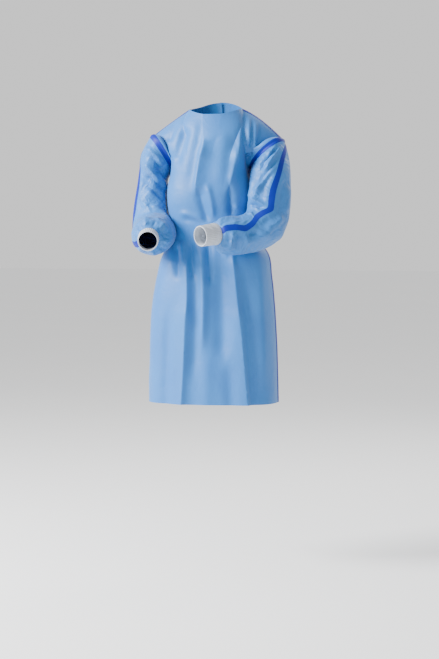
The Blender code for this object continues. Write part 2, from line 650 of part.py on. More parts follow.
def build():
    """The whole gown."""
    for old in list(bpy.data.objects):
        bpy.data.objects.remove(old)
    collection = bpy.data.collections.new(NAME)
    bpy.context.scene.collection.children.link(collection)
    finishes = {name: material(name) for name in COLOURS}

    right, left = half_panel("right", "front"), half_panel("left", "front")
    front = np.concatenate([right, left[:, ::-1][:, 1:]], axis=1)
    back_left = half_panel("left", "back")
    back_right = half_panel("right", "back")[:, ::-1]
    front = folded(front, FRONT_FOLDS, body_still(*front.shape[:2], True, False))
    back_left = folded(back_left, BACK_FOLDS, body_still(*back_left.shape[:2], False, True))
    still = body_still(*back_right.shape[:2], False, True)[:, ::-1]
    back_right = folded(back_right, BACK_FOLDS, still)
    back_right = tucked(back_right[:, ::-1], outward_normals(back_right)[:, ::-1])[:, ::-1]
    sleeves = {}
    for side in ("left", "right"):
        half = front[:, : front.shape[1] // 2] if side == "right" else front[:, front.shape[1] // 2 :]
        plain = sleeve(side, (half, back_left if side == "left" else back_right))
        sleeves[side] = folded(plain, SLEEVE_FOLDS[side], sleeve_still(plain))

    bodies = {"front": front, "back_left": back_left, "back_right": back_right}
    normals = {key: outward_normals(grid) for key, grid in (bodies | sleeves).items()}
    taped = RING_CELLS + SHOULDER_CELLS
    ends = {"left": slice(-taped - 1, None), "right": slice(0, taped + 1)}
    backs = {"left": slice(0, taped + 1), "right": slice(-taped - 1, None)}
    for side, edge, other in (("left", -1, 0), ("right", 0, -1)):
        back = normals[f"back_{side}"]
        back[1:, other] = normals["front"][1:, edge] = meeting(back[1:, other], normals["front"][1:, edge])
        flat_front, flat_back = normals["front"][0, ends[side]], back[0, backs[side]][::-1]
        if side == "left":
            seam_front, seam_back = flat_front[:SHOULDER_CELLS], flat_back[:SHOULDER_CELLS]
            hole_front, hole_back = flat_front[SHOULDER_CELLS:], back[0, : RING_CELLS + 1]
        else:
            seam_front, seam_back = flat_front[-SHOULDER_CELLS:], flat_back[-SHOULDER_CELLS:]
            hole_front, hole_back = flat_front[: RING_CELLS + 1], back[0, -RING_CELLS - 1 :]
        both = meeting(seam_front, seam_back)
        seam_front[:] = both
        seam_back[:] = both
        cuffward = normals[side]
        cuffward[:, 0] = cuffward[:, -1] = meeting(cuffward[:, 0], cuffward[:, -1])
        loop = cuffward[0][::-1]
        parts = (hole_front, hole_back) if side == "left" else (hole_back, hole_front)
        loop_parts = (loop[: RING_CELLS + 1], loop[RING_CELLS:])
        mean = [meeting(part, piece) for part, piece in zip(parts, loop_parts)]
        pit = meeting(unit(parts[0][-1] + parts[1][0]), loop[RING_CELLS])
        top = meeting(unit(parts[0][0] + parts[1][-1]), unit(loop[0]))
        mean[0][-1] = mean[1][0] = pit
        mean[0][0] = mean[1][-1] = top
        for part, piece, value in zip(parts, loop_parts, mean):
            part[:] = value
            piece[:] = value

    sewn = [(0, 1, ends["left"]), (0, 1, ends["right"])]
    cut = inset(front, rows=sewn, columns=[(0, 1), (-1, -2)])
    cloth("front_panel", cut, normals["front"], WALL, finishes["cloth"])
    cut = inset(back_left, rows=[(0, 1, backs["left"])], columns=[(0, 1)])
    cloth("back_panel_left", cut, normals["back_left"], WALL, finishes["cloth"])
    cut = inset(back_right, rows=[(0, 1, backs["right"])], columns=[(-1, -2)])
    cloth("back_panel_right", cut, normals["back_right"], WALL, finishes["cloth"])

    every = slice(None)
    for side in ("left", "right"):
        grid, normal = sleeves[side], normals[side]
        cut = inset(grid, rows=[(0, 1, every)], columns=[(0, 1), (-1, -2)])
        cloth(f"sleeve_{side}", cut, normal, WALL, finishes["cloth"])
        cuff(side, grid[-1], finishes["cuff"])

        strip = [np.stack([a[1:, -2], a[1:, 0], a[1:, 1]], axis=1) for a in (grid, normal)]
        tape(f"sleeve_tape_{side}", trimmed(strip[0], GAP, STRIP_END), strip[1], finishes["tape"])

        back, back_normal = bodies[f"back_{side}"], normals[f"back_{side}"]
        if side == "left":
            first, second, third = (front, -2), (back, 0), (back, 1)
            normal_at = (normals["front"], -2), (back_normal, 0), (back_normal, 1)
        else:
            first, second, third = (back, -2), (front, 0), (front, 1)
            normal_at = (back_normal, -2), (normals["front"], 0), (normals["front"], 1)
        points = np.stack([a[1:, k] for a, k in (first, second, third)], axis=1)
        facing = np.stack([a[1:, k] for a, k in normal_at], axis=1)
        tape(f"side_tape_{side}", trimmed(points, GAP), facing, finishes["tape"])

        strips = []
        for body, rear, tube in ((front, back, grid), (normals["front"], back_normal, normal)):
            hem = body[:, ends[side]]
            behind = rear[:, backs[side]][:, ::-1]
            if side == "left":
                near = slice(0, SHOULDER_CELLS + 1)
                seam = np.stack([behind[1, near], hem[0, near], hem[1, near]])
                loop = np.concatenate([hem[:2, SHOULDER_CELLS:], rear[:2, 1 : RING_CELLS + 1]], axis=1)
            else:
                last = slice(-SHOULDER_CELLS - 1, None)
                seam = np.stack([behind[1, last], hem[0, last], hem[1, last]])
                loop = np.concatenate([rear[:2, -RING_CELLS - 1 :], hem[:2, 1 : RING_CELLS + 1]], axis=1)
            ring = np.concatenate([tube[1:2, ::-1], loop], axis=0)
            strips.append((seam, ring))
        (seam, ring), (seam_normal, ring_normal) = strips
        start, end = (0.0, 2 * GAP) if side == "left" else (2 * GAP, 0.0)
        tape(f"shoulder_tape_{side}", trimmed(seam, start, end, axis=1), seam_normal, finishes["tape"])
        ring = trimmed(ring, GAP / 2, GAP / 2, axis=1)
        tape(f"armhole_tape_{side}", ring, ring_normal, finishes["tape"])

    levels = [row[0] for row in SECTIONS]
    waist = YOKE_CELLS + sum(row[-1] for row in SECTIONS[: levels.index(WAIST_Z)])
    edge = back_left.shape[1] - 1
    points, facing = back_left[waist : waist + 2, 1:], normals["back_left"][waist : waist + 2, 1:]
    tape("waist_tie_left", trimmed(points, GAP, TIE_END, axis=1), facing, finishes["cloth"], wall=TIE_WALL)
    reach = edge - 2 * LAP_CELLS
    points = back_right[waist : waist + 2, ::-1][:, 1:reach][:, ::-1]
    facing = normals["back_right"][waist : waist + 2, ::-1][:, 1:reach][:, ::-1]
    tape("waist_tie_right", trimmed(points, 0.0, GAP, axis=1), facing, finishes["cloth"], wall=TIE_WALL)
    rows = slice(*NECK_TAB_ROWS)
    points, facing = back_left[rows, edge - 3 :], normals["back_left"][rows, edge - 3 :]
    tape("neck_tab", trimmed(points, 0.0, STRIP_END, axis=1), facing, finishes["tab"])
    for name, last in (("tie_tail_left", edge - 1), ("tie_tail_right", edge)):
        rows, columns = slice(waist + 1, waist + 2 + TAIL_LENGTH_CELLS), slice(last - 1, last + 1)
        points, facing = back_left[rows, columns], normals["back_left"][rows, columns]
        points = trimmed(trimmed(points, TAIL_START), STRIP_END, STRIP_END, axis=1)
        tape(name, points, facing, finishes["cloth"], wall=TIE_WALL)
    spot = (back_left[waist, edge - 1] + back_left[waist + 1, edge]) / 2
    facing = unit(normals["back_left"][waist, edge - 1] + normals["back_left"][waist, edge])
    lift = 2 * GAP + TIE_WALL + KNOT_DEPTH / 2 + KNOT_LIFT
    knot(spot + facing * lift, finishes["cloth"], np.arctan2(-facing[0], facing[1]))


build()
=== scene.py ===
"""An isolation gown in its worn form: hollow, the left forearm held across the front.

The cloth follows the same named sizes as its solids, sampled finely, with its folds, seam
tapes, stitches, knit cuffs and back closure. Lengths are in metres, but in millimetres in
the rows of the tables. The front looks along -Y, +Z is up and the wearer's left is +X.
"""

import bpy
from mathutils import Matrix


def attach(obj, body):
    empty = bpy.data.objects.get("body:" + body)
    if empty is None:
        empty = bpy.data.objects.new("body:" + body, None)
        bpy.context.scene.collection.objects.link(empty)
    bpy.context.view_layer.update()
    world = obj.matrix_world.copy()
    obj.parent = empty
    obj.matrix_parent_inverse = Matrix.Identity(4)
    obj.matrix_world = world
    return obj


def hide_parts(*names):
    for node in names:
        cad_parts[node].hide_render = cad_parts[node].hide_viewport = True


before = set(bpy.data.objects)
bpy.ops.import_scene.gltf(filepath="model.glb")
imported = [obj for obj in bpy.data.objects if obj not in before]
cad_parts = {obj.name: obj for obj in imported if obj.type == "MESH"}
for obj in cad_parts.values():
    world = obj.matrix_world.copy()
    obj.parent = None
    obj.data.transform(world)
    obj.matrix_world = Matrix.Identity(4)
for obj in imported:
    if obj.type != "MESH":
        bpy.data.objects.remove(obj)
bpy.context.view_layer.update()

import logging
from dataclasses import dataclass, field
from enum import Enum
from math import cos, hypot, pi, radians, sin
from typing import Any

import bpy
import numpy as np
from mathutils import Vector

log = logging.getLogger("isolation_gown")
logging.basicConfig(level=logging.INFO, format="%(name)s: %(message)s")

Array = np.ndarray
Point = tuple[float, float, float]
Colour = tuple[int, int, int]
Cloth = tuple[Array, Array]  # a grid of outer points, and which way is out at each
Piece = bpy.types.Object
Material = bpy.types.Material
Value = Any  # a number, a colour, a node's socket or a Wave

SIGHT = radians(12)  # the line of sight, turned from +Y
FINE = 6  # fine cells to a coarse cell, which is a solid's own
TINY = 1e-9
LEAST_LEAN = 0.65  # how far a seam's normal may lean from its walls' own, as a cosine
SHARP_EDGE = radians(55)


class Side(Enum):
    """A side of the gown, as the wearer has it."""

    LEFT = "left"
    RIGHT = "right"

    @property
    def outward(self) -> int:
        """The sign of X on this side."""
        return 1 if self is Side.LEFT else -1


class Face(Enum):
    """The front or the back of the gown."""

    FRONT = "front"
    BACK = "back"

    @property
    def forward(self) -> int:
        """The sign of Y on this face."""
        return -1 if self is Face.FRONT else 1


class Hold(Enum):
    """How a cut of cloth is held in the worn gown."""

    HUNG = "hung"
    DRAPED = "draped"
    GATHERED = "gathered"
    LAID = "laid"


def unit(vectors: Array) -> Array:
    """The same directions, each vector one long."""
    return vectors / np.maximum(np.linalg.norm(vectors, axis=-1, keepdims=True), TINY)


def turned(points: Array | Point, angle: float) -> Array:
    """Points turned about Z, from X to Y by an angle."""
    x, y, z = np.moveaxis(np.asarray(points, float), -1, 0)
    return np.stack([x * cos(angle) - y * sin(angle), x * sin(angle) + y * cos(angle), z], axis=-1)


def from_sight(points: Array | Point) -> Array:
    """Points given across the line of sight, X to the right and Y away, in the gown's frame."""
    return turned(points, SIGHT)


def to_sight(points: Array) -> Array:
    """The gown's points across the line of sight, X to the right and Y away."""
    return turned(points, -SIGHT)


def run(line: Array) -> Array:
    """How far along a line each of its points lies."""
    return np.concatenate([[0.0], np.cumsum(np.linalg.norm(np.diff(line, axis=0), axis=1))])


def along(line: Array, distances: Array) -> Array:
    """The points of a line at some distances from its start."""
    return np.stack([np.interp(distances, run(line), values) for values in line.T], axis=1)


def ease(value: Array | float, low: float, high: float) -> Array:
    """A soft step: 0 below low, 1 above high and a soft passage between."""
    share = np.clip((value - low) / (high - low), 0.0, 1.0)
    return share * share * (3 - 2 * share)


def joined(*parts: Array) -> Array:
    """Grids side by side, as one."""
    return np.concatenate(parts, axis=1)


def hermite(t: Array, ends: tuple[Array, Array], slopes: tuple[Array, Array]) -> Array:
    """A cubic at places t, 0 to 1, from its values at both ends and its slopes there."""
    start = (2 * t**3 - 3 * t**2 + 1) * ends[0] + (t**3 - 2 * t**2 + t) * slopes[0]
    return start + (3 * t**2 - 2 * t**3) * ends[1] + (t**3 - t**2) * slopes[1]


def through(knots: Array, values: Array, at: Array) -> Array:
    """A smooth curve through a table's values.

    Args:
        knots: Where the table gives its values.
        values: A row of values for each knot.
        at: Where to read the curve.

    Returns:
        A row of values for each place.
    """
    slopes = np.gradient(values, knots, axis=0)
    cell = np.clip(np.searchsorted(knots, at, side="right") - 1, 0, len(knots) - 2)
    width = (knots[cell + 1] - knots[cell])[:, None]
    t = (at - knots[cell])[:, None] / width
    ends = values[cell], values[cell + 1]
    return hermite(t, ends, (width * slopes[cell], width * slopes[cell + 1]))


def finer(values: Array) -> Array:
    """A row of numbers with each of its steps split into fine cells."""
    places = np.arange((len(values) - 1) * FINE + 1) / FINE
    return np.interp(places, np.arange(len(values)), values)


def steps(start: float, first: float, end: float, cells: int) -> Array:
    """Places from start to end in some cells, the first of which has its own width."""
    return np.concatenate([[start], np.linspace(start + first, end, cells)])


def outward_normals(grid: Array) -> Array:
    """Normals of a grid whose rows go down and whose columns go round to the front's left."""
    return unit(np.cross(np.gradient(grid, axis=0), np.gradient(grid, axis=1)))


def meeting(*normals: Array) -> Array:
    """One normal for walls that meet at a seam.

    Args:
        normals: The normals of each wall along the seam.

    Returns:
        Their mean, longer where they meet at an angle.
    """
    mean = unit(sum(normals))
    lean = np.min([np.sum(mean * normal, axis=-1) for normal in normals], axis=0)
    return mean / np.clip(lean, LEAST_LEAN, 1.0)[..., None]


@dataclass(frozen=True)
class Crease:
    """A soft ridge, or a trough if its height is negative, placed across the line of sight.

    A bow bends it to the right of the view, a crispness over 1 narrows its crown and a lean
    makes its right flank wider than its left one.
    """

    x0: float
    z0: float
    x1: float
    z1: float
    half_width: float
    height: float
    bow: float = 0.0
    crispness: float = 1.0
    lean: float = 0.0

    def lift(self, x: Array, z: Array) -> Array:
        """How far the crease lifts places of the view.

        Args:
            x: Places across the view.
            z: Their heights.

        Returns:
            The lift at each.
        """
        width, drop = self.x1 - self.x0, self.z1 - self.z0
        length = hypot(width, drop)
        aside, above = x - self.x0, z - self.z0
        share = (aside * width + above * drop) / length**2
        middle = np.clip(share, 0, 1)
        across = (above * width - aside * drop) / length - self.bow * 4 * middle * (1 - middle)
        flank = self.half_width * (1 + self.lean * np.tanh(2 * across / self.half_width))
        ends = ease(share, -0.02, 0.25) * ease(1 - share, -0.02, 0.25)
        return self.height * ends * np.exp(-(np.abs(across / flank) ** (2 / self.crispness)))


@dataclass(frozen=True)
class Gather:
    """A pucker that runs up a sleeve from its cuff: its place round it, and its sizes."""

    turn: float
    half_width: float
    height: float
    reach: float

    def lift(self, turns: Array, distance: Array) -> Array:
        """How far the pucker lifts points of a sleeve.

        Args:
            turns: Their places round the sleeve, 0 to 1.
            distance: How far they are from its end.

        Returns:
            The lift at each.
        """
        away = np.abs(turns - self.turn)
        away = np.minimum(away, 1 - away) / self.half_width
        rising = ease(distance, 0.0, self.reach * 0.35)
        falling = 1 - ease(distance, self.reach * 0.4, self.reach)
        return self.height * np.exp(-(away**1.5)) * rising * falling


@dataclass(frozen=True)
class Rumple:
    """Small uneven waves of film-coated cloth, crisp along their crowns."""

    depth: float
    size: float
    seed: int
    waves: int = 14

    def lift(self, points: Array) -> Array:
        """How far the rumple lifts points.

        Args:
            points: Points of the cloth.

        Returns:
            The lift at each.
        """
        dice = np.random.default_rng(self.seed)
        total = np.zeros(points.shape[:-1])
        for _ in range(self.waves):
            way = unit(dice.normal(size=3))
            length = self.size * dice.uniform(0.6, 1.9)
            bend = unit(dice.normal(size=3)) * dice.uniform(0.2, 0.8) / length
            phase = points @ way * (2 * pi / length) + dice.uniform(0, 2 * pi)
            phase = phase + 1.3 * np.sin(points @ bend * 2 * pi + dice.uniform(0, 2 * pi))
            total += (1 - np.abs(np.sin(phase / 2)) * 2) * length / self.size
        return self.depth * total / self.waves**0.5


@dataclass(frozen=True)
class Armhole:
    """An armhole across the line of sight: its middle and the half axes to its top and front."""

    middle: Point
    top: Point
    front: Point


@dataclass(frozen=True)
class BodySection:
    """A level section of the body: its height, its reach each way, the cells to the next."""

    z: float
    right: float
    left: float
    front: float
    back: float
    cells: int


@dataclass(frozen=True)
class SleeveRing:
    """A ring of a sleeve: its inner and outer edge, half its depth, its seam's turn, its cells."""

    inner: Point
    outer: Point
    depth: float
    seam: float
    cells: int


def metres(lengths: tuple[float, ...]) -> tuple[float, ...]:
    """Millimetres in metres."""
    return tuple(length / 1000 for length in lengths)


def creases(*rows: tuple[float, ...]) -> tuple[Crease, ...]:
    """Creases from rows of a Crease's fields, the lengths in millimetres."""
    return tuple(Crease(*metres(row[:7]), *row[7:]) for row in rows)


def gathers(*rows: tuple[float, ...]) -> tuple[Gather, ...]:
    """Gathers from rows of a Gather's fields, the height and the reach in millimetres."""
    return tuple(Gather(*row[:2], *metres(row[2:])) for row in rows)


def rings(*rows: tuple[float, ...]) -> tuple[SleeveRing, ...]:
    """Rings from rows of both edges and the depth in millimetres, the turn and the cells."""
    return tuple(SleeveRing(metres(r[:3]), metres(r[3:6]), r[6] / 1000, *r[7:]) for r in rows)


ARMHOLES = {
    Side.LEFT: Armhole((0.165, -0.025, -0.142), (0.053, -0.008, 0.042), (-0.003, -0.073, 0.024)),
    Side.RIGHT: Armhole((-0.172, 0.047, -0.134), (-0.034, 0.008, 0.050), (-0.010, -0.073, 0.024)),
}
SHOULDER_BOW = {Side.LEFT: (0.140, 0.012, -0.018), Side.RIGHT: (-0.150, 0.012, -0.037)}
BODY_ROWS = (
    (-204, 141, 106, 108, 106, 1), (-225, 150, 118, 113, 111, 2), (-270, 155, 128, 117, 109, 2),
    (-330, 149, 129, 111, 103, 2), (-387.5, 142, 134, 105, 98, 1), (-412.5, 144, 138, 106, 98, 1),
    (-450, 166, 166, 120, 114, 2), (-530, 188, 181, 131, 126, 2), (-620, 204, 190, 137, 131, 3),
    (-750, 211, 198, 141, 135, 5), (-929, 215, 203, 145, 140, 0),
)
SECTIONS = [BodySection(*metres(row[:5]), row[5]) for row in BODY_ROWS]
SLEEVE_RINGS = {
    Side.LEFT: rings(
        (107, -70, -215, 232, -42, -160, 74, 44, 3), (104, -86, -238, 235.5, -58, -212, 70, 74, 2),
        (101, -94, -268, 235, -78, -282, 66, 89, 2), (100, -112, -293, 228, -98, -347, 63, 97, 2),
        (99.5, -120, -303, 218, -109, -377, 62, 98, 1),
        (99, -126, -311, 206, -120, -404, 61, 112, 1),
        (94, -134, -324, 165, -138, -434, 59, 121, 2),
        (80, -148, -333, 117, -155, -450, 57, 113, 2), (62, -160, -337, 83, -170, -455, 55, 105, 1),
        (36, -173, -337, 50, -184, -457, 53, 110, 2), (10, -185, -343, 26, -194, -452, 47, 110, 1),
        (-2, -190, -351, 13, -199, -441, 40, 102, 1), (-9.5, -194, -359, 7, -203, -424, 33, 97, 1),
    ),
    Side.RIGHT: rings(
        (-156, 43, -222, -238, 56, -138, 71, 8, 3), (-152, 50, -245, -245, 57, -182, 67, 22, 2),
        (-149, 43, -270, -253, 62, -238, 64, 35, 2), (-143, 29, -302, -261, 65, -300, 62, 41, 2),
        (-134, 10, -334, -265, 52, -350, 61, 39, 2), (-129, -12, -361, -266, 22, -378, 60, 22, 1),
        (-127, -38, -377, -266, -10, -389, 60, 3, 1),
        (-126, -72, -388, -266, -55, -394, 61, -14, 2),
        (-127, -101, -396, -266, -100, -396, 61, -25, 2),
        (-135, -140, -400, -263, -140, -400, 59, -25, 2),
        (-150, -166, -403, -254, -166, -404, 50, -25, 1),
        (-166, -178, -404, -246, -178, -405, 40, -25, 1),
        (-176, -186, -405, -242, -186, -406, 33, -25, 1),
    ),
}
PANEL_CREASES = {
    Face.FRONT: creases(
        (-24, 10, -46, -165, 16, 12, 2, 1.5, 0.35), (-40, -110, -66, -275, 15, 12.5, -2, 1.5, 0.3),
        (-56, -245, -22, -360, 13, -8.8, -4, 1.2), (-30, -230, -8, -350, 10, 5.9, 3),
        (-87, -50, -133, -185, 19, -10.6, -6), (-58, -20, -100, -240, 18, 4.1, -3),
        (83, -10, 56, -180, 14, 12, 6, 1.5, 0.2), (62, -115, 32, -275, 14, 13, 4, 1.5, 0.2),
        (39, -215, 50, -350, 11, -11.8, 0, 1.5), (91, -10, 89, -125, 11, -13, -3, 1.3),
        (90, -100, 120, -200, 11, -13, -4, 1.4), (105, -8, 104, -130, 7, 8.5, 0, 1.5),
        (116, -15, 111, -140, 6, -8, -2, 1.4), (127, -22, 119, -150, 7, 8, 0, 1.5),
        (142, -35, 126, -120, 6, -6, 2, 1.4), (20, -60, 8, -250, 22, 4.1, 4),
        (-125, -32, -158, -105, 11, -9.4, 0, 1.3), (-96, 10, -140, -160, 13, 4.1, 0, 1.2),
        (-118, -325, -30, -352, 8, 4.7, 4), (-110, -345, -30, -372, 7, -4.7, 4),
        (52, -300, 98, -340, 9, 4.7), (-131, -415, -119, -540, 12, -11.2, 0, 1.2),
        (-108, -408, -104, -500, 10, 5.9), (-80, -410, -74, -545, 11, -10.6, 0, 1.2),
        (-92, -450, -92, -700, 15, 13.6, 3, 1.6, -0.25),
        (-93, -600, -117, -1060, 17, 14.7, 4, 1.7, -0.25), (-66, -480, -75, -860, 17, -7.1, 3),
        (-46, -420, -46, -770, 14, 11.2, 6, 1.1), (-26, -410, -20, -560, 11, -10.6, 0, 1.2),
        (8, -430, 17, -820, 28, -14.2, 3), (28, -405, 30, -470, 9, 4.7),
        (48, -430, 77, -700, 15, 13, 0, 1.6, -0.3), (70, -600, 110, -1060, 17, 15, 0, 1.7, -0.35),
        (88, -480, 128, -1060, 19, -10, 0, 1.1), (132, -430, 150, -900, 16, 5.9, 4),
        (40, -780, 52, -1060, 22, -5.9), (-30, -760, -34, -1060, 24, 5.3),
        (-150, -600, -168, -1060, 20, -8.8),
    ),
    Face.BACK: creases(
        (-60, -80, -85, -360, 19, -8.8, -6), (65, -60, 80, -340, 17, -9.9, 5),
        (-118, -90, -100, -300, 14, 8.8, 0, 1.2), (30, -150, 34, -370, 15, 7.7, 0, 1.2),
        (108, -110, 94, -330, 13, 7.7, 4, 1.3), (-36, -190, -40, -370, 10, 5),
        (-120, -350, -30, -372, 8, 4.4, 3), (20, -352, 110, -368, 8, 4.4, -3),
        (-105, -425, -128, -1060, 18, 13.2, 0, 1.5, 0.2), (-72, -420, -80, -700, 14, -11, 0, 1.2),
        (45, -420, 60, -1060, 18, 12.1, -4, 1.5), (90, -420, 100, -760, 15, -11, 0, 1.2),
        (125, -430, 145, -1060, 16, 9.9, 0, 1.4), (-20, -500, -30, -1060, 19, -9.9),
        (-135, -420, -140, -560, 10, -6.6), (18, -420, 20, -520, 9, 5), (66, -418, 70, -520, 8, 5),
        (-52, -640, -60, -1060, 20, 6.6),
    ),
}
SLEEVE_CREASES = {
    (Side.LEFT, Face.FRONT): creases(
        (212, -108, 150, -205, 9, 11.9, -6, 1.7), (202, -118, 132, -196, 8, -12.5, -5, 1.5),
        (196, -102, 160, -150, 6, 8.2, 0, 1.6), (224, -140, 128, -245, 10, -12.5, -8, 1.5),
        (226, -150, 120, -275, 10, 10.9, -12, 1.7), (190, -190, 118, -300, 10, -9.2, -6, 1.5),
        (118, -215, 108, -290, 8, 8.2, -3), (140, -240, 105, -312, 8, 10.9, 0, 1.7),
        (104, -300, 170, -322, 6, -10.9, 3, 1.7), (112, -285, 160, -306, 6, 9.2, 0, 1.8),
        (96, -326, 160, -340, 6, 8.2, 0, 1.7), (120, -300, 142, -340, 5, 7.3, 0, 1.7),
        (225, -235, 222, -330, 12, 7.3), (215, -330, 150, -380, 12, 9.2, 6),
        (180, -380, 90, -425, 14, 7.3, -5), (60, -345, 40, -450, 7, 10, 0, 1.9),
        (72, -350, 64, -448, 7, -9.2, 0, 1.6), (86, -345, 100, -440, 9, 7.3, 0, 1.6),
        (30, -352, 18, -440, 5, 7.3, 0, 1.7), (45, -370, 150, -395, 10, -9.2, -4, 1.5),
        (40, -330, 100, -322, 6, 8.2, 0, 1.6),
    ),
    (Side.LEFT, Face.BACK): creases(
        (210, -130, 140, -215, 11, -12.5, 5, 1.5), (220, -160, 150, -240, 10, 10.9, 0, 1.6),
        (225, -230, 160, -300, 12, -12.5, 6, 1.4), (230, -260, 170, -330, 10, 10.9, 0, 1.7),
        (215, -300, 130, -330, 9, -10.9, 0, 1.5), (215, -345, 140, -355, 9, 10, 5, 1.7),
        (195, -390, 120, -372, 10, -9.2, 0, 1.4), (110, -340, 95, -440, 10, 9.2, 0, 1.6),
        (70, -345, 60, -450, 8, -9.2, 0, 1.5),
    ),
    (Side.RIGHT, Face.FRONT): creases(
        (-232, -110, -165, -185, 10, 11.9, 5, 1.6), (-212, -118, -160, -165, 6, 7.3, 0, 1.6),
        (-212, -135, -160, -235, 10, -12.5, 6, 1.5), (-236, -160, -176, -242, 9, 10.9, 6, 1.7),
        (-176, -190, -150, -265, 9, 10.9, -4, 1.6), (-232, -205, -150, -262, 9, -11.9, 5, 1.5),
        (-236, -228, -142, -335, 11, -12.5, 10, 1.4), (-228, -248, -150, -318, 8, 10.9, 6, 1.8),
        (-215, -300, -140, -352, 10, 9.2, 5, 1.5), (-250, -262, -205, -330, 9, 8.2, 0, 1.5),
        (-190, -335, -150, -388, 8, 8.2, 0, 1.5), (-228, -345, -178, -362, 7, 8.2, 4, 1.8),
        (-240, -368, -196, -392, 6, 8.2, 0, 1.8), (-222, -376, -206, -412, 5, -7.3, 0, 1.7),
        (-180, -370, -150, -415, 7, -8.2, 0, 1.5),
    ),
    (Side.RIGHT, Face.BACK): creases(
        (-225, -120, -160, -195, 10, -12.5, -5, 1.5), (-240, -165, -180, -235, 9, 10.9, 0, 1.6),
        (-245, -230, -175, -280, 10, -12.5, 0, 1.5), (-250, -255, -180, -320, 9, 10.9, -4, 1.7),
        (-250, -310, -170, -330, 9, -10.9, 0, 1.5), (-255, -335, -180, -350, 8, 10, 0, 1.7),
        (-250, -385, -170, -378, 9, -9.2, 0, 1.5),
    ),
}
GATHERS = {
    Side.LEFT: gathers(
        (0.06, 0.02, 3.9, 55), (0.13, 0.024, -5.2, 77), (0.21, 0.02, 5.5, 68),
        (0.28, 0.018, -4.4, 53), (0.36, 0.022, 4.9, 62), (0.45, 0.024, -4.4, 66),
        (0.53, 0.02, 4.4, 57), (0.61, 0.022, -5.2, 73), (0.69, 0.02, 5.7, 79),
        (0.77, 0.018, -4.7, 57), (0.84, 0.02, 4.9, 70), (0.91, 0.018, -4.4, 55),
        (0.96, 0.016, 3.4, 44),
    ),
    Side.RIGHT: gathers(
        (0.05, 0.018, -4.5, 55), (0.12, 0.022, 5.8, 78), (0.2, 0.02, -5.8, 65),
        (0.28, 0.022, 6.4, 86), (0.37, 0.02, -5.4, 70), (0.44, 0.018, 5.1, 60),
        (0.52, 0.024, -6.4, 81), (0.6, 0.02, 6.1, 73), (0.69, 0.022, -5.8, 88),
        (0.78, 0.02, 6.4, 75), (0.86, 0.018, -5.1, 62), (0.93, 0.018, 4.5, 57),
    ),
}


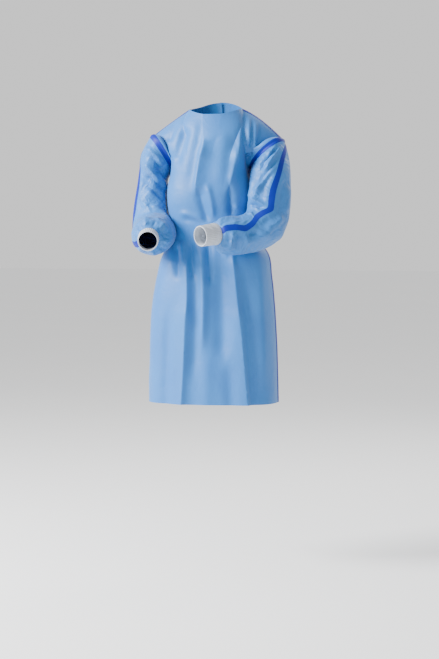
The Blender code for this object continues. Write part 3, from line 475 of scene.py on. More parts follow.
@dataclass(frozen=True)
class Pattern:
    """The gown's cut: the sizes that its panels and sleeves share, and the grids they give.

    A panel's columns are, from its side seam, those of half the armhole (ring), the shoulder,
    the neck and, at the back, the lap. Leaving gives the way in which the top edge is left at
    the pit, half way up the armhole, its top, half along the shoulder, its end and the centre.
    """

    neck_half_width: float = 0.085
    neck_half_depth: float = 0.075
    neck_side_z: float = 0.003
    neck_front_drop: float = 0.021
    neck_back_rise: float = 0.025
    lap_at_neck: float = 0.030
    lap_at_hem: float = 0.065
    lap_tuck: float = 0.0045
    lap_margin: float = 0.006
    lap_blend: float = 0.042
    tape_reach: float = 0.010
    ring_cells: int = 9
    shoulder_cells: int = 5
    neck_cells: int = 6
    lap_cells: int = 2
    yoke_cells: int = 8
    ring_share: float = 0.36
    neck_share: float = 0.68
    front_squareness: float = 2.7
    back_squareness: float = 2.2
    yoke_pull: float = 1.1
    yoke_slant: float = 0.6
    waist_z: float = -0.38
    blend_cells: float = 2.0
    blend_turns: int = 80
    seam_spread: float = 0.8
    sleeve_room: float = 0.0065
    sleeve_opening: float = 0.45
    past_centre: float = pi * 0.8
    leaving: tuple[Point, ...] = (
        (-0.72, 0.00, -0.70),
        (-0.90, 0.40, 0.02),
        (-0.55, 0.80, 0.16),
        (0.00, 0.97, -0.25),
        (0.35, 0.75, -0.55),
        (0.00, 0.35, -0.95),
    )

    @property
    def centre(self) -> int:
        """The column, in coarse cells, that lies on the centre line."""
        return self.ring_cells + self.shoulder_cells + self.neck_cells

    @property
    def taped(self) -> int:
        """How many coarse cells of a panel's top edge are sewn to something."""
        return self.ring_cells + self.shoulder_cells

    @property
    def waist(self) -> int:
        """The coarse row at the upper edge of the waist ties."""
        return self.yoke_cells + sum(row.cells for row in SECTIONS if row.z > self.waist_z)

    def lap(self, z: Array | float) -> Array:
        """How far past the centre the back panels reach at a height."""
        share = np.clip((z - SECTIONS[0].z) / (SECTIONS[-1].z - SECTIONS[0].z), 0, 1)
        return self.lap_at_neck + (self.lap_at_hem - self.lap_at_neck) * share

    def armhole_axes(self, side: Side) -> tuple[Array, Array, Array]:
        """An armhole's middle and its half axes to the top and the front, in the gown's frame."""
        hole = ARMHOLES[side]
        return from_sight(hole.middle), from_sight(hole.top), from_sight(hole.front)

    def armhole(self, side: Side, turns: Array) -> Array:
        """Points of an armhole.

        Args:
            side: Whose armhole it is.
            turns: 0 is its top, a quarter its front and a half its pit.

        Returns:
            One point for each turn.
        """
        middle, top, front = self.armhole_axes(side)
        angle = np.asarray(turns, float)[:, None] * 2 * pi
        return middle + top * np.cos(angle) + front * np.sin(angle)

    def into_sleeve(self, side: Side) -> Array:
        """The way through an armhole, from the body into the sleeve."""
        _, top, front = self.armhole_axes(side)
        return unit(np.cross(top, front)) * side.outward

    def half_armhole(self, side: Side, face: Face) -> Array:
        """An armhole's edge on one face.

        Args:
            side: Whose armhole it is.
            face: Front or back.

        Returns:
            Its fine points, from the pit to the top.
        """
        line = self.armhole(side, np.linspace(-0.5 * face.forward, 0, 91))
        length = run(line)[-1]
        inner = np.linspace(self.tape_reach, length - self.tape_reach, self.ring_cells - 1)
        return along(line, finer(np.concatenate([[0.0], inner, [length]])))

    def shoulder(self, side: Side) -> Array:
        """The shoulder seam.

        Args:
            side: Whose shoulder it is.

        Returns:
            Its fine points, from the armhole's top to the neck.
        """
        top, bow = self.armhole(side, [0.0])[0], np.array(SHOULDER_BOW[side])
        neck = np.array([side.outward * self.neck_half_width, 0.0, self.neck_side_z])
        t = np.linspace(0, 1, self.shoulder_cells * FINE + 1)[:, None]
        return (1 - t) ** 2 * top + 2 * t * (1 - t) * bow + t**2 * neck

    def neck(self, side: Side, face: Face) -> Array:
        """The neck's edge, from the shoulder seam on, and at the back past the centre.

        Args:
            side: The side it starts from.
            face: Front or back.

        Returns:
            Its fine points, without the one on the shoulder seam.
        """
        rise = -self.neck_front_drop if face is Face.FRONT else self.neck_back_rise
        turn = np.linspace(0, self.past_centre, 161)
        x = side.outward * self.neck_half_width * np.cos(turn)
        y = face.forward * self.neck_half_depth * np.sin(turn)
        line = np.stack([x, y, self.neck_side_z + rise * np.sin(turn) ** 2], axis=1)
        half = run(line)[80]  # short of the centre, which the next cell spans straight
        distances = np.linspace(0, half, self.neck_cells * FINE + 1)[1:]
        if face is Face.BACK:
            over = self.lap_at_neck * np.linspace(0, 1, self.lap_cells * FINE + 1)[1:]
            distances = np.concatenate([distances, half + over])
        return along(line, distances)

    def section(self, side: Side, face: Face, row: BodySection) -> Array:
        """One body section at the half panel's columns.

        Args:
            side: The side whose seam it starts from.
            face: Front or back.
            row: The section's sizes.

        Returns:
            Its fine points, from the side seam past the centre.
        """
        turn = np.linspace(0, self.past_centre, 241)
        own, other = (row.left, row.right) if side is Side.LEFT else (row.right, row.left)
        depth, square = row.back, self.back_squareness
        if face is Face.FRONT:
            depth, square = row.front, self.front_squareness
        width = np.where(turn < pi / 2, own, other)
        x = side.outward * width * np.sign(np.cos(turn)) * np.abs(np.cos(turn)) ** (2 / square)
        y = face.forward * depth * np.sin(turn) ** (2 / square)
        line = np.stack([x, y, np.full_like(x, row.z)], axis=1)
        half = run(line)[150]  # a quarter turn, on the centre line
        ring = steps(0, self.tape_reach, self.ring_share * half, self.ring_cells)
        over = np.linspace(self.ring_share, self.neck_share, self.shoulder_cells + 1)[1:] * half
        middle = np.linspace(self.neck_share, 1, self.neck_cells + 1)[1:] * half
        distances = np.concatenate([ring, over, middle])
        if face is Face.BACK:
            past = self.lap(row.z) * np.linspace(0, 1, self.lap_cells + 1)[1:]
            distances = np.concatenate([distances, half + past])
        return along(line, finer(distances))

    def ways(self, side: Side, face: Face, columns: int) -> Array:
        """The direction in which each column leaves the top edge.

        Args:
            side: The side of the half panel.
            face: Front or back.
            columns: How many fine columns there are.

        Returns:
            One direction for each.
        """
        ring, shoulder = self.ring_cells, self.shoulder_cells
        at = [0, ring / 2, ring, ring + shoulder / 2, ring + shoulder, self.centre]
        values = np.array(self.leaving) * (side.outward, face.forward, 1)
        where = np.minimum(np.arange(columns) / FINE, self.centre)
        way = unit(np.stack([np.interp(where, at, axis) for axis in values.T], axis=1))
        apart = self.seam_spread * (1 - ease(where, ring - 2, ring + 1))
        return unit(way - apart[:, None] * self.into_sleeve(side))

    def half_panel(self, side: Side, face: Face) -> Array:
        """Half the front, or one back panel.

        Args:
            side: The side whose seam is its first column.
            face: Front or back.

        Returns:
            Its grid, rows from the top edge to the hem.
        """
        edges = self.half_armhole(side, face), self.shoulder(side)[1:], self.neck(side, face)
        top = np.concatenate(edges)
        levels = np.array([self.section(side, face, row) for row in SECTIONS])
        heights = -levels[:, 0, 2]
        rows = [[heights[0]]]
        for row, upper, lower in zip(SECTIONS, heights, heights[1:]):
            rows.append(np.linspace(upper, lower, row.cells * FINE + 1)[1:])
        flat = levels.reshape(len(levels), -1)
        lower = through(heights, flat, np.concatenate(rows)).reshape(-1, len(top), 3)
        chest, way = lower[0], self.ways(side, face, len(top))
        reach = np.linalg.norm(chest - top, axis=1)[:, None]
        t = np.linspace(0, 1, 121)[:, None, None]
        slopes = reach * way * self.yoke_pull, reach * np.array([0, 0, -1.0])
        yoke = hermite(t, (top, chest), slopes)
        lean = np.linalg.norm(np.cross(way, unit(np.gradient(top, axis=0))), axis=1)
        grid = np.empty((self.yoke_cells * FINE + len(lower), len(top), 3))
        for column in range(len(top)):
            line = yoke[:, column]
            first = self.tape_reach / max(lean[column], self.yoke_slant)
            places = finer(steps(0, first, run(line)[-1], self.yoke_cells))
            grid[: len(places), column] = along(line, places)
        grid[self.yoke_cells * FINE :] = lower
        return self.softened(grid)

    def softened(self, grid: Array) -> Array:
        """Takes out the change of curve where a panel's yoke meets its sections.

        Args:
            grid: The panel's grid, which is changed.

        Returns:
            The grid.
        """
        row = np.arange(1, len(grid) - 1) / FINE - self.yoke_cells
        share = np.exp(-((row / self.blend_cells) ** 2))[:, None, None] / 2
        for _ in range(self.blend_turns):
            grid[1:-1] += ((grid[:-2] + grid[2:]) / 2 - grid[1:-1]) * share
        return grid

    def body_still(self, shape: tuple[int, ...], whole: bool) -> Array:
        """The share of a panel's points that folds leave alone: its taped edges and the lap.

        Args:
            shape: The rows and columns of its grid.
            whole: Whether it is the whole front rather than a back panel.

        Returns:
            The share at each point.
        """
        row, column = np.arange(shape[0])[:, None] / FINE, np.arange(shape[1])[None, :] / FINE
        columns = (shape[1] - 1) / FINE
        still = 1 - ease(row - 1, 0, 3) * np.ones_like(column)
        side = 1 - ease(column - 1, 0, 3) * np.ones_like(row)
        if whole:
            side = np.maximum(side, side[:, ::-1])
            middle = (column > self.taped + 1) & (column < columns - self.taped - 1)
            still = np.where(middle, still * 0.6, still)
        else:
            lap = columns - self.lap_cells
            side = np.maximum(side, ease(column, lap - 4, lap - 1))
        return np.maximum(still, side)

    def tucked(self, grid: Array) -> Array:
        """Moves the right back panel in under the left one.

        Args:
            grid: Its grid, the side seam first.

        Returns:
            The moved grid.
        """
        centre = self.centre * FINE
        middle = grid[:, centre : centre + 1]
        distance = np.linalg.norm(grid - middle, axis=2)
        past = np.arange(grid.shape[1])[None, :] > centre
        covered = self.lap(middle[..., 2]) + self.lap_margin
        under = np.where(past, 1.0, 1 - ease(distance, covered, covered + self.lap_blend))
        return grid + outward_normals(grid) * (self.lap_tuck * under)[..., None]

    def clear_of_body(self, points: Array, side: Side, panels: Array, room: float) -> Array:
        """Moves sleeve points out from the body where they come too near to it.

        Args:
            points: Points of one ring of a sleeve.
            side: The sleeve's side.
            panels: The body's columns beside it.
            room: How far it stays from them.

        Returns:
            The points, moved.
        """
        columns = panels * (side.outward, 1, 1)
        depths = np.maximum.accumulate(-columns[..., 2], axis=0)
        places = points * (side.outward, 1, 1)
        x, y = (
            np.array([np.interp(-places[:, 2], *pair) for pair in zip(depths.T, columns[..., k].T)])
            for k in (0, 1)
        )
        present = -places[:, 2] > depths[0][:, None]
        turns, radii = np.arctan2(y, x), np.hypot(x, y)
        moved = points.copy()
        for index, (across, forward, _) in enumerate(places):
            here = present[:, index]
            if here.sum() < 2:
                continue
            order = np.argsort(turns[here, index])
            turn, radius = turns[here, index][order], radii[here, index][order]
            own_turn, own_radius = np.arctan2(forward, across), np.hypot(across, forward)
            if turn[0] < own_turn < turn[-1]:
                needed = np.interp(own_turn, turn, radius) + room
                moved[index, :2] *= max(needed / own_radius, 1.0)
        return moved

    def ring_table(self, side: Side) -> Array:
        """A sleeve's rings across the line of sight, the armhole first.

        Args:
            side: The sleeve's side.

        Returns:
            Rows of the inner edge, the outer edge, the way to the front, the depth, the turn.
        """
        hole = {key: np.array(value) for key, value in vars(ARMHOLES[side]).items()}
        own = SLEEVE_RINGS[side]
        inner = np.array([hole["middle"] - hole["top"], *[ring.inner for ring in own]])
        outer = np.array([hole["middle"] + hole["top"], *[ring.outer for ring in own]])
        depth = [float(np.linalg.norm(hole["front"])), *[ring.depth for ring in own]]
        seam = [0.0, *[radians(ring.seam) for ring in own]]
        down = unit(np.gradient((inner + outer) / 2, axis=0))
        front = unit(np.cross(outer - inner, down)) * -side.outward
        front[0] = unit(hole["front"])
        return np.hstack([inner, outer, front, np.column_stack([depth, seam])])

    def sleeve(self, side: Side, panels: Array) -> Array:
        """A sleeve's grid.

        Args:
            side: The sleeve's side.
            panels: The body's columns beside it.

        Returns:
            Rows from the armhole to the cuff, columns from its seam round to its seam.
        """
        table, own = self.ring_table(side), SLEEVE_RINGS[side]
        middle = (table[:2, :3] + table[:2, 3:6]) / 2
        spans = [np.linspace(k, k + 1, ring.cells + 1)[1:] for k, ring in enumerate(own)]
        at = np.concatenate([[0.0], *spans])
        first = self.tape_reach / np.linalg.norm(middle[1] - middle[0])
        at = np.insert(at, 1, first)
        halves = [self.half_armhole(side, face)[::-1] for face in (Face.BACK, Face.FRONT)]
        halves = halves if side is Side.LEFT else halves[::-1]
        hole = np.concatenate([halves[0], halves[1][::-1][1:]])
        coarse = [hole, hole + unit(from_sight(middle[1] - middle[0])) * self.tape_reach]
        for index, row in enumerate(through(np.arange(len(table)), table, at)):
            inner, outer, front, (depth, seam) = np.split(row, (3, 6, 9))
            turn = seam - side.outward * np.linspace(0, 2 * pi, 241)
            centre, half = (inner + outer) / 2, (outer - inner) / 2
            across = half * np.cos(turn)[:, None]
            line = from_sight(centre + across + unit(front) * depth * np.sin(turn)[:, None])
            if index == 0:
                start = line.mean(axis=0)
            if index < 2:  # the armhole and the tape's lower edge are there already
                continue
            below = float(np.linalg.norm(line.mean(axis=0) - start))
            room = min(self.sleeve_room, self.sleeve_opening * below)
            line = self.clear_of_body(line, side, panels, room)
            length = run(line)[-1]
            places = np.linspace(self.tape_reach, length - self.tape_reach, 2 * self.ring_cells - 1)
            coarse.append(along(line, finer(np.concatenate([[0.0], places, [length]]))))
        rows = np.array(coarse)
        knots = np.arange(len(rows))
        fine = through(knots, rows.reshape(len(rows), -1), finer(knots.astype(float)))
        return fine.reshape(-1, rows.shape[1], 3)


def tinted(colour: Colour) -> tuple[float, float, float, float]:
    """A colour of 0 to 255 a channel, as the linear one that a shader takes."""
    shares = [channel / 255 for channel in colour]
    return (*[s / 12.92 if s <= 0.04045 else ((s + 0.055) / 1.055) ** 2.4 for s in shares], 1.0)


def shown(name: str, data: bpy.types.ID) -> Piece:
    """Puts an object with some data in the scene.

    Args:
        name: Its name.
        data: Its mesh, light or camera.

    Returns:
        The object.
    """
    made = bpy.data.objects.new(name, data)
    bpy.context.scene.collection.objects.link(made)
    return made


class NodeTree:
    """A tree of nodes, made one at a time."""

    def __init__(self, tree: bpy.types.NodeTree) -> None:
        """Takes up a tree."""
        self.tree = tree

    def node(self, kind: str, settings: dict | None = None, **inputs: Value) -> bpy.types.Node:
        """Adds a node.

        Args:
            kind: The node's type.
            settings: Its own properties, which are set first.
            inputs: What its sockets get, by name with _ for a space, or by _ and a number.

        Returns:
            The node.
        """
        made = self.tree.nodes.new(kind)
        for key, value in (settings or {}).items():
            setattr(made, key, value)
        self.feed(made, **inputs)
        return made

    def feed(self, node: bpy.types.Node, **inputs: Value) -> None:
        """Gives a node's sockets numbers, colours, links or a Wave of this tree.

        Args:
            node: The node.
            inputs: What its sockets get, by name with _ for a space, or by _ and a number.
        """
        for key, value in inputs.items():
            socket = node.inputs[int(key[1:]) if key[0] == "_" else key.replace("_", " ")]
            value = value.socket if isinstance(value, Wave) else value
            if isinstance(value, bpy.types.NodeSocket):
                self.tree.links.new(value, socket)
            else:
                socket.default_value = value


@dataclass(frozen=True)
class Clouds:
    """A cloudy pattern: clouds a metre, finer layers, how strong they are, how far it warps."""

    scale: float
    detail: float = 2.0
    roughness: float = 0.5
    distortion: float = 0.0


class ShaderTree(NodeTree):
    """A material's nodes, joined by expressions on their sockets."""

    def __init__(self, name: str) -> None:
        """Starts a material with its Principled shader.

        Args:
            name: The material's name.
        """
        self.material = bpy.data.materials.new(name)
        self.material.use_nodes = True
        super().__init__(self.material.node_tree)
        self.shader = self.tree.nodes["Principled BSDF"]

    def maths(self, operation: str, first: Value, second: Value = 0.0) -> "Wave":
        """The result of a Math node, from its operation and its two values."""
        made = self.node("ShaderNodeMath", {"operation": operation}, _0=first, _1=second)
        return Wave(self, made.outputs[0])

    def place(self) -> bpy.types.NodeSocket:
        """The place on the piece, in metres."""
        return self.node("ShaderNodeTexCoord").outputs["Object"]

    def noise(self, clouds: Clouds) -> "Wave":
        """A cloudy value of 0 to 1 that changes over the piece."""
        sizes = {key.title(): size for key, size in vars(clouds).items()}
        return Wave(self, self.node("ShaderNodeTexNoise", Vector=self.place(), **sizes).outputs[0])

    def cells(self, scale: float) -> "Wave":
        """The distance, in cells, to the nearest of many points, so many a metre."""
        made = self.node("ShaderNodeTexVoronoi", Vector=self.place(), Scale=scale)
        return Wave(self, made.outputs["Distance"])

    def bump(
        self, height: Value, depth: float, strength: float, **under: Value
    ) -> bpy.types.NodeSocket:
        """The normal of a height of 0 to 1, its depth in metres, on the one in Normal if any."""
        sizes = {"Distance": depth, "Strength": strength}
        return self.node("ShaderNodeBump", Height=height, **sizes, **under).outputs[0]

    def dressed(self, finish: "Finish", share: Value, **inputs: Value) -> Material:
        """Gives the shader its colour and its other values.

        Args:
            finish: The finish, with its two colours.
            share: 0 for the light one, 1 for the deep one.
            inputs: The shader's other sockets, as in feed.

        Returns:
            The material.
        """
        colours = {"_6": tinted(finish.light), "_7": tinted(finish.deep)}
        mixed = self.node("ShaderNodeMix", {"data_type": "RGBA"}, _0=share, **colours)
        self.feed(self.shader, Base_Color=mixed.outputs[2], **inputs)
        return self.material


@dataclass(frozen=True)
class Wave:
    """A value that changes over a surface, for sums written as expressions."""

    tree: ShaderTree
    socket: bpy.types.NodeSocket

    def __add__(self, other: Value) -> "Wave":
        """The sum."""
        return self.tree.maths("ADD", self, other)

    __radd__ = __add__

    def __sub__(self, other: Value) -> "Wave":
        """The difference."""
        return self.tree.maths("SUBTRACT", self, other)

    def __rsub__(self, other: Value) -> "Wave":
        """The difference from a number."""
        return self.tree.maths("SUBTRACT", other, self)

    def __mul__(self, other: Value) -> "Wave":
        """The product."""
        return self.tree.maths("MULTIPLY", self, other)

    __rmul__ = __mul__

    def above(self, edge: float, width: float) -> "Wave":
        """A soft step from 0 to 1.

        Args:
            edge: Where it is half way.
            width: How wide the passage is.

        Returns:
            The step.
        """
        ends = {"_0": self, "_1": edge - width / 2, "_2": edge + width / 2}
        made = self.tree.node("ShaderNodeMapRange", {"interpolation_type": "SMOOTHSTEP"}, **ends)
        return Wave(self.tree, made.outputs[0])


@dataclass(frozen=True)
class Finish:
    """What the finishes share: a name and the two colours that each varies between."""

    name: str
    light: Colour
    deep: Colour


@dataclass(frozen=True)
class FilmCloth(Finish):
    """Film-coated nonwoven: light blue, satin, with bonded dots and a fine film crinkle."""

    name: str = "gown_film_cloth"
    light: Colour = (46, 116, 184)
    deep: Colour = (38, 104, 174)
    gloss: float = 0.42
    shades: Clouds = Clouds(7.0)
    fibres: Clouds = Clouds(420.0, 3.0, 0.65, 1.2)
    crinkle: Clouds = Clouds(34.0, 3.0, 0.55, 0.7)
    patches: Clouds = Clouds(11.0, 1.0)
    facets: Clouds = Clouds(1 / 0.055, 2.0, 0.45, 1.3)
    dots: float = 620.0
    crinkle_depth: float = 0.0011
    facet_depth: float = 0.0002
    dot_depth: float = 0.00008
    fibre_depth: float = 0.00010

    def make(self) -> Material:
        """Makes the finish.

        Returns:
            The material.
        """
        tree = ShaderTree(self.name)
        fibres, patches = tree.noise(self.fibres), tree.noise(self.patches)
        shade = tree.noise(self.shades).above(0.5, 0.5) * 0.6 + fibres * 0.4
        crests = 1 - tree.maths("ABSOLUTE", tree.noise(self.facets) - 0.5) * 6
        facets = tree.bump(crests, self.facet_depth, 1.0)
        height = tree.noise(self.crinkle) * patches
        soft = tree.bump(height, self.crinkle_depth * 2.4, 0.55, Normal=facets)
        dots = 1 - tree.cells(self.dots).above(0.32, 0.25)
        fine = tree.bump(dots, self.dot_depth, 0.30, Normal=soft)
        return tree.dressed(
            self,
            shade,
            Roughness=self.gloss + patches * 0.10 + fibres * 0.06,
            Normal=tree.bump(fibres, self.fibre_depth, 0.35, Normal=fine),
            Sheen_Weight=0.12,
            Sheen_Roughness=0.45,
            Specular_IOR_Level=0.36,
        )


@dataclass(frozen=True)
class SeamFilm(Finish):
    """Heat-sealed seam tape: royal blue film with a faint weave and pressed puckers."""

    name: str = "gown_seam_tape"
    light: Colour = (7, 36, 150)
    deep: Colour = (5, 28, 128)
    gloss: float = 0.44
    patches: Clouds = Clouds(26.0)
    weave: Clouds = Clouds(900.0)
    puckers: Clouds = Clouds(95.0, 2.0, 0.5, 0.6)
    pucker_depth: float = 0.0006
    weave_depth: float = 0.00006

    def make(self) -> Material:
        """Makes the finish.

        Returns:
            The material.
        """
        tree = ShaderTree(self.name)
        patches = tree.noise(self.patches)
        soft = tree.bump(tree.noise(self.puckers), self.pucker_depth, 0.5)
        weave = tree.bump(tree.noise(self.weave), self.weave_depth, 0.4, Normal=soft)
        gloss = self.gloss + patches * 0.14
        return tree.dressed(self, patches, Roughness=gloss, Normal=weave, Specular_IOR_Level=0.18)


@dataclass(frozen=True)
class RibKnit(Finish):
    """White rib knit of the cuffs: matt, with small loops and painted shade in the hollows between
    them.
    """

    name: str = "gown_rib_knit"
    light: Colour = (200, 205, 212)
    # deep: mostly painted shade in the hollows between the loops, partly the yarn's uneven lint
    deep: Colour = (168, 176, 188)
    gloss: float = 0.82
    lint: Clouds = Clouds(500.0, 3.0, 0.7)
    loops: float = 950.0
    loop_depth: float = 0.0003

    def make(self) -> Material:
        """Makes the finish.

        Returns:
            The material.
        """
        tree = ShaderTree(self.name)
        loops, lint = tree.cells(self.loops), tree.noise(self.lint)
        normal = tree.bump(1 - loops, self.loop_depth, 0.7)
        gloss = self.gloss + lint * 0.1
        # the loop cells' edges, the hollows between the raised loops, take the deep colour as
        # painted shade; the lint is the yarn's own uneven tone
        shade = loops * 0.7 + lint * 0.3
        return tree.dressed(self, shade, Roughness=gloss, Normal=normal, Sheen_Weight=0.3)


@dataclass(frozen=True)
class HookTab(Finish):
    """The neck tab's matt napped fabric, a shade paler than the cloth."""

    name: str = "gown_neck_tab"
    light: Colour = (80, 136, 196)
    deep: Colour = (58, 112, 178)
    gloss: float = 0.78
    nap: Clouds = Clouds(780.0, 3.0, 0.7)
    hooks: float = 700.0
    nap_depth: float = 0.0003

    def make(self) -> Material:
        """Makes the finish.

        Returns:
            The material.
        """
        tree = ShaderTree(self.name)
        nap = tree.noise(self.nap)
        normal = tree.bump(nap * 0.5 + tree.cells(self.hooks) * 0.5, self.nap_depth, 0.6)
        gloss = self.gloss + nap * 0.15
        return tree.dressed(self, nap, Roughness=gloss, Normal=normal, Sheen_Weight=0.35)


@dataclass(frozen=True)
class SewingThread(Finish):
    """Polyester thread in the cloth's own blue."""

    name: str = "gown_thread"
    light: Colour = (62, 120, 190)
    deep: Colour = (44, 96, 166)
    gloss: float = 0.45
    twist: Clouds = Clouds(1500.0)

    def make(self) -> Material:
        """Makes the finish.

        Returns:
            The material.
        """
        tree = ShaderTree(self.name)
        twist = tree.noise(self.twist)
        return tree.dressed(self, twist, Roughness=self.gloss + twist * 0.15)


@dataclass(frozen=True)
class StudioFloor(Finish):
    """The plain pale floor."""

    name: str = "studio_floor"
    light: Colour = (250, 250, 250)
    deep: Colour = (246, 247, 248)
    patches: Clouds = Clouds(0.8)

    def make(self) -> Material:
        """The floor's material."""
        tree = ShaderTree(self.name)
        return tree.dressed(self, tree.noise(self.patches), Roughness=0.9)


@dataclass
class Workroom:
    """What every piece is made with: its finishes, and the way a mesh becomes a piece."""

    cloth: Material
    sleeve_cloth: Material
    tape: Material
    knit: Material
    tab: Material
    thread: Material
    made: list[str] = field(default_factory=list)

    def piece(self, name: str, vertices: Array, faces: list, finish: Material) -> Piece:
        """Makes a smooth mesh piece.

        Args:
            name: Its name.
            vertices: Its points.
            faces: Its faces, as rows of point numbers.
            finish: Its material.

        Returns:
            The object.
        """
        mesh = bpy.data.meshes.new(name)
        mesh.from_pydata(np.asarray(vertices).tolist(), [], faces)
        mesh.shade_smooth()
        mesh.set_sharp_from_angle(angle=SHARP_EDGE)
        mesh.materials.append(finish)
        return shown(name, mesh)

    def shell(
        self, name: str, cloth: Cloth, wall: float, finish: Material, closed: bool = False
    ) -> Piece:
        """Makes a thin wall of cloth from its outer points inwards.

        Args:
            name: The piece's name.
            cloth: The grid of its outer points, and which way is out at each.
            wall: Its thickness.
            finish: Its material.
            closed: Whether its last column meets its first.

        Returns:
            The object.
        """
        outer, normals = cloth
        rows, columns = outer.shape[:2]
        below = rows * columns
        vertices = np.concatenate([outer.reshape(-1, 3), (outer - normals * wall).reshape(-1, 3)])
        index = np.arange(below).reshape(rows, columns)
        if closed:
            index = joined(index, index[:, :1])
        a, b, c, d = index[:-1, :-1], index[1:, :-1], index[1:, 1:], index[:-1, 1:]
        quads = [np.stack([a, b, c, d], axis=-1).reshape(-1, 4)]
        quads.append(quads[0][:, ::-1] + below)
        edges = [(index[0, :-1], index[0, 1:]), (index[-1, 1:], index[-1, :-1])]
        if not closed:
            edges += [(index[1:, 0], index[:-1, 0]), (index[:-1, -1], index[1:, -1])]
        for start, end in edges:
            quads.append(np.stack([start, end, end + below, start + below], axis=-1))
        return self.piece(name, vertices, np.concatenate(quads).tolist(), finish)

    def finish_piece(self, piece: Piece, slot: str, *nodes: str) -> Piece:
        """Rides a piece on the body and lets it stand for its nodes.

        Args:
            piece: The piece.
            slot: The record's material slot. Not used.
            nodes: The solids that it replaces.

        Returns:
            The piece.
        """
        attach(piece, "root")
        if nodes:
            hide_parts(*nodes)
        self.made.append(piece.name)
        log.info("%s: %d faces", piece.name, len(piece.data.polygons))
        return piece


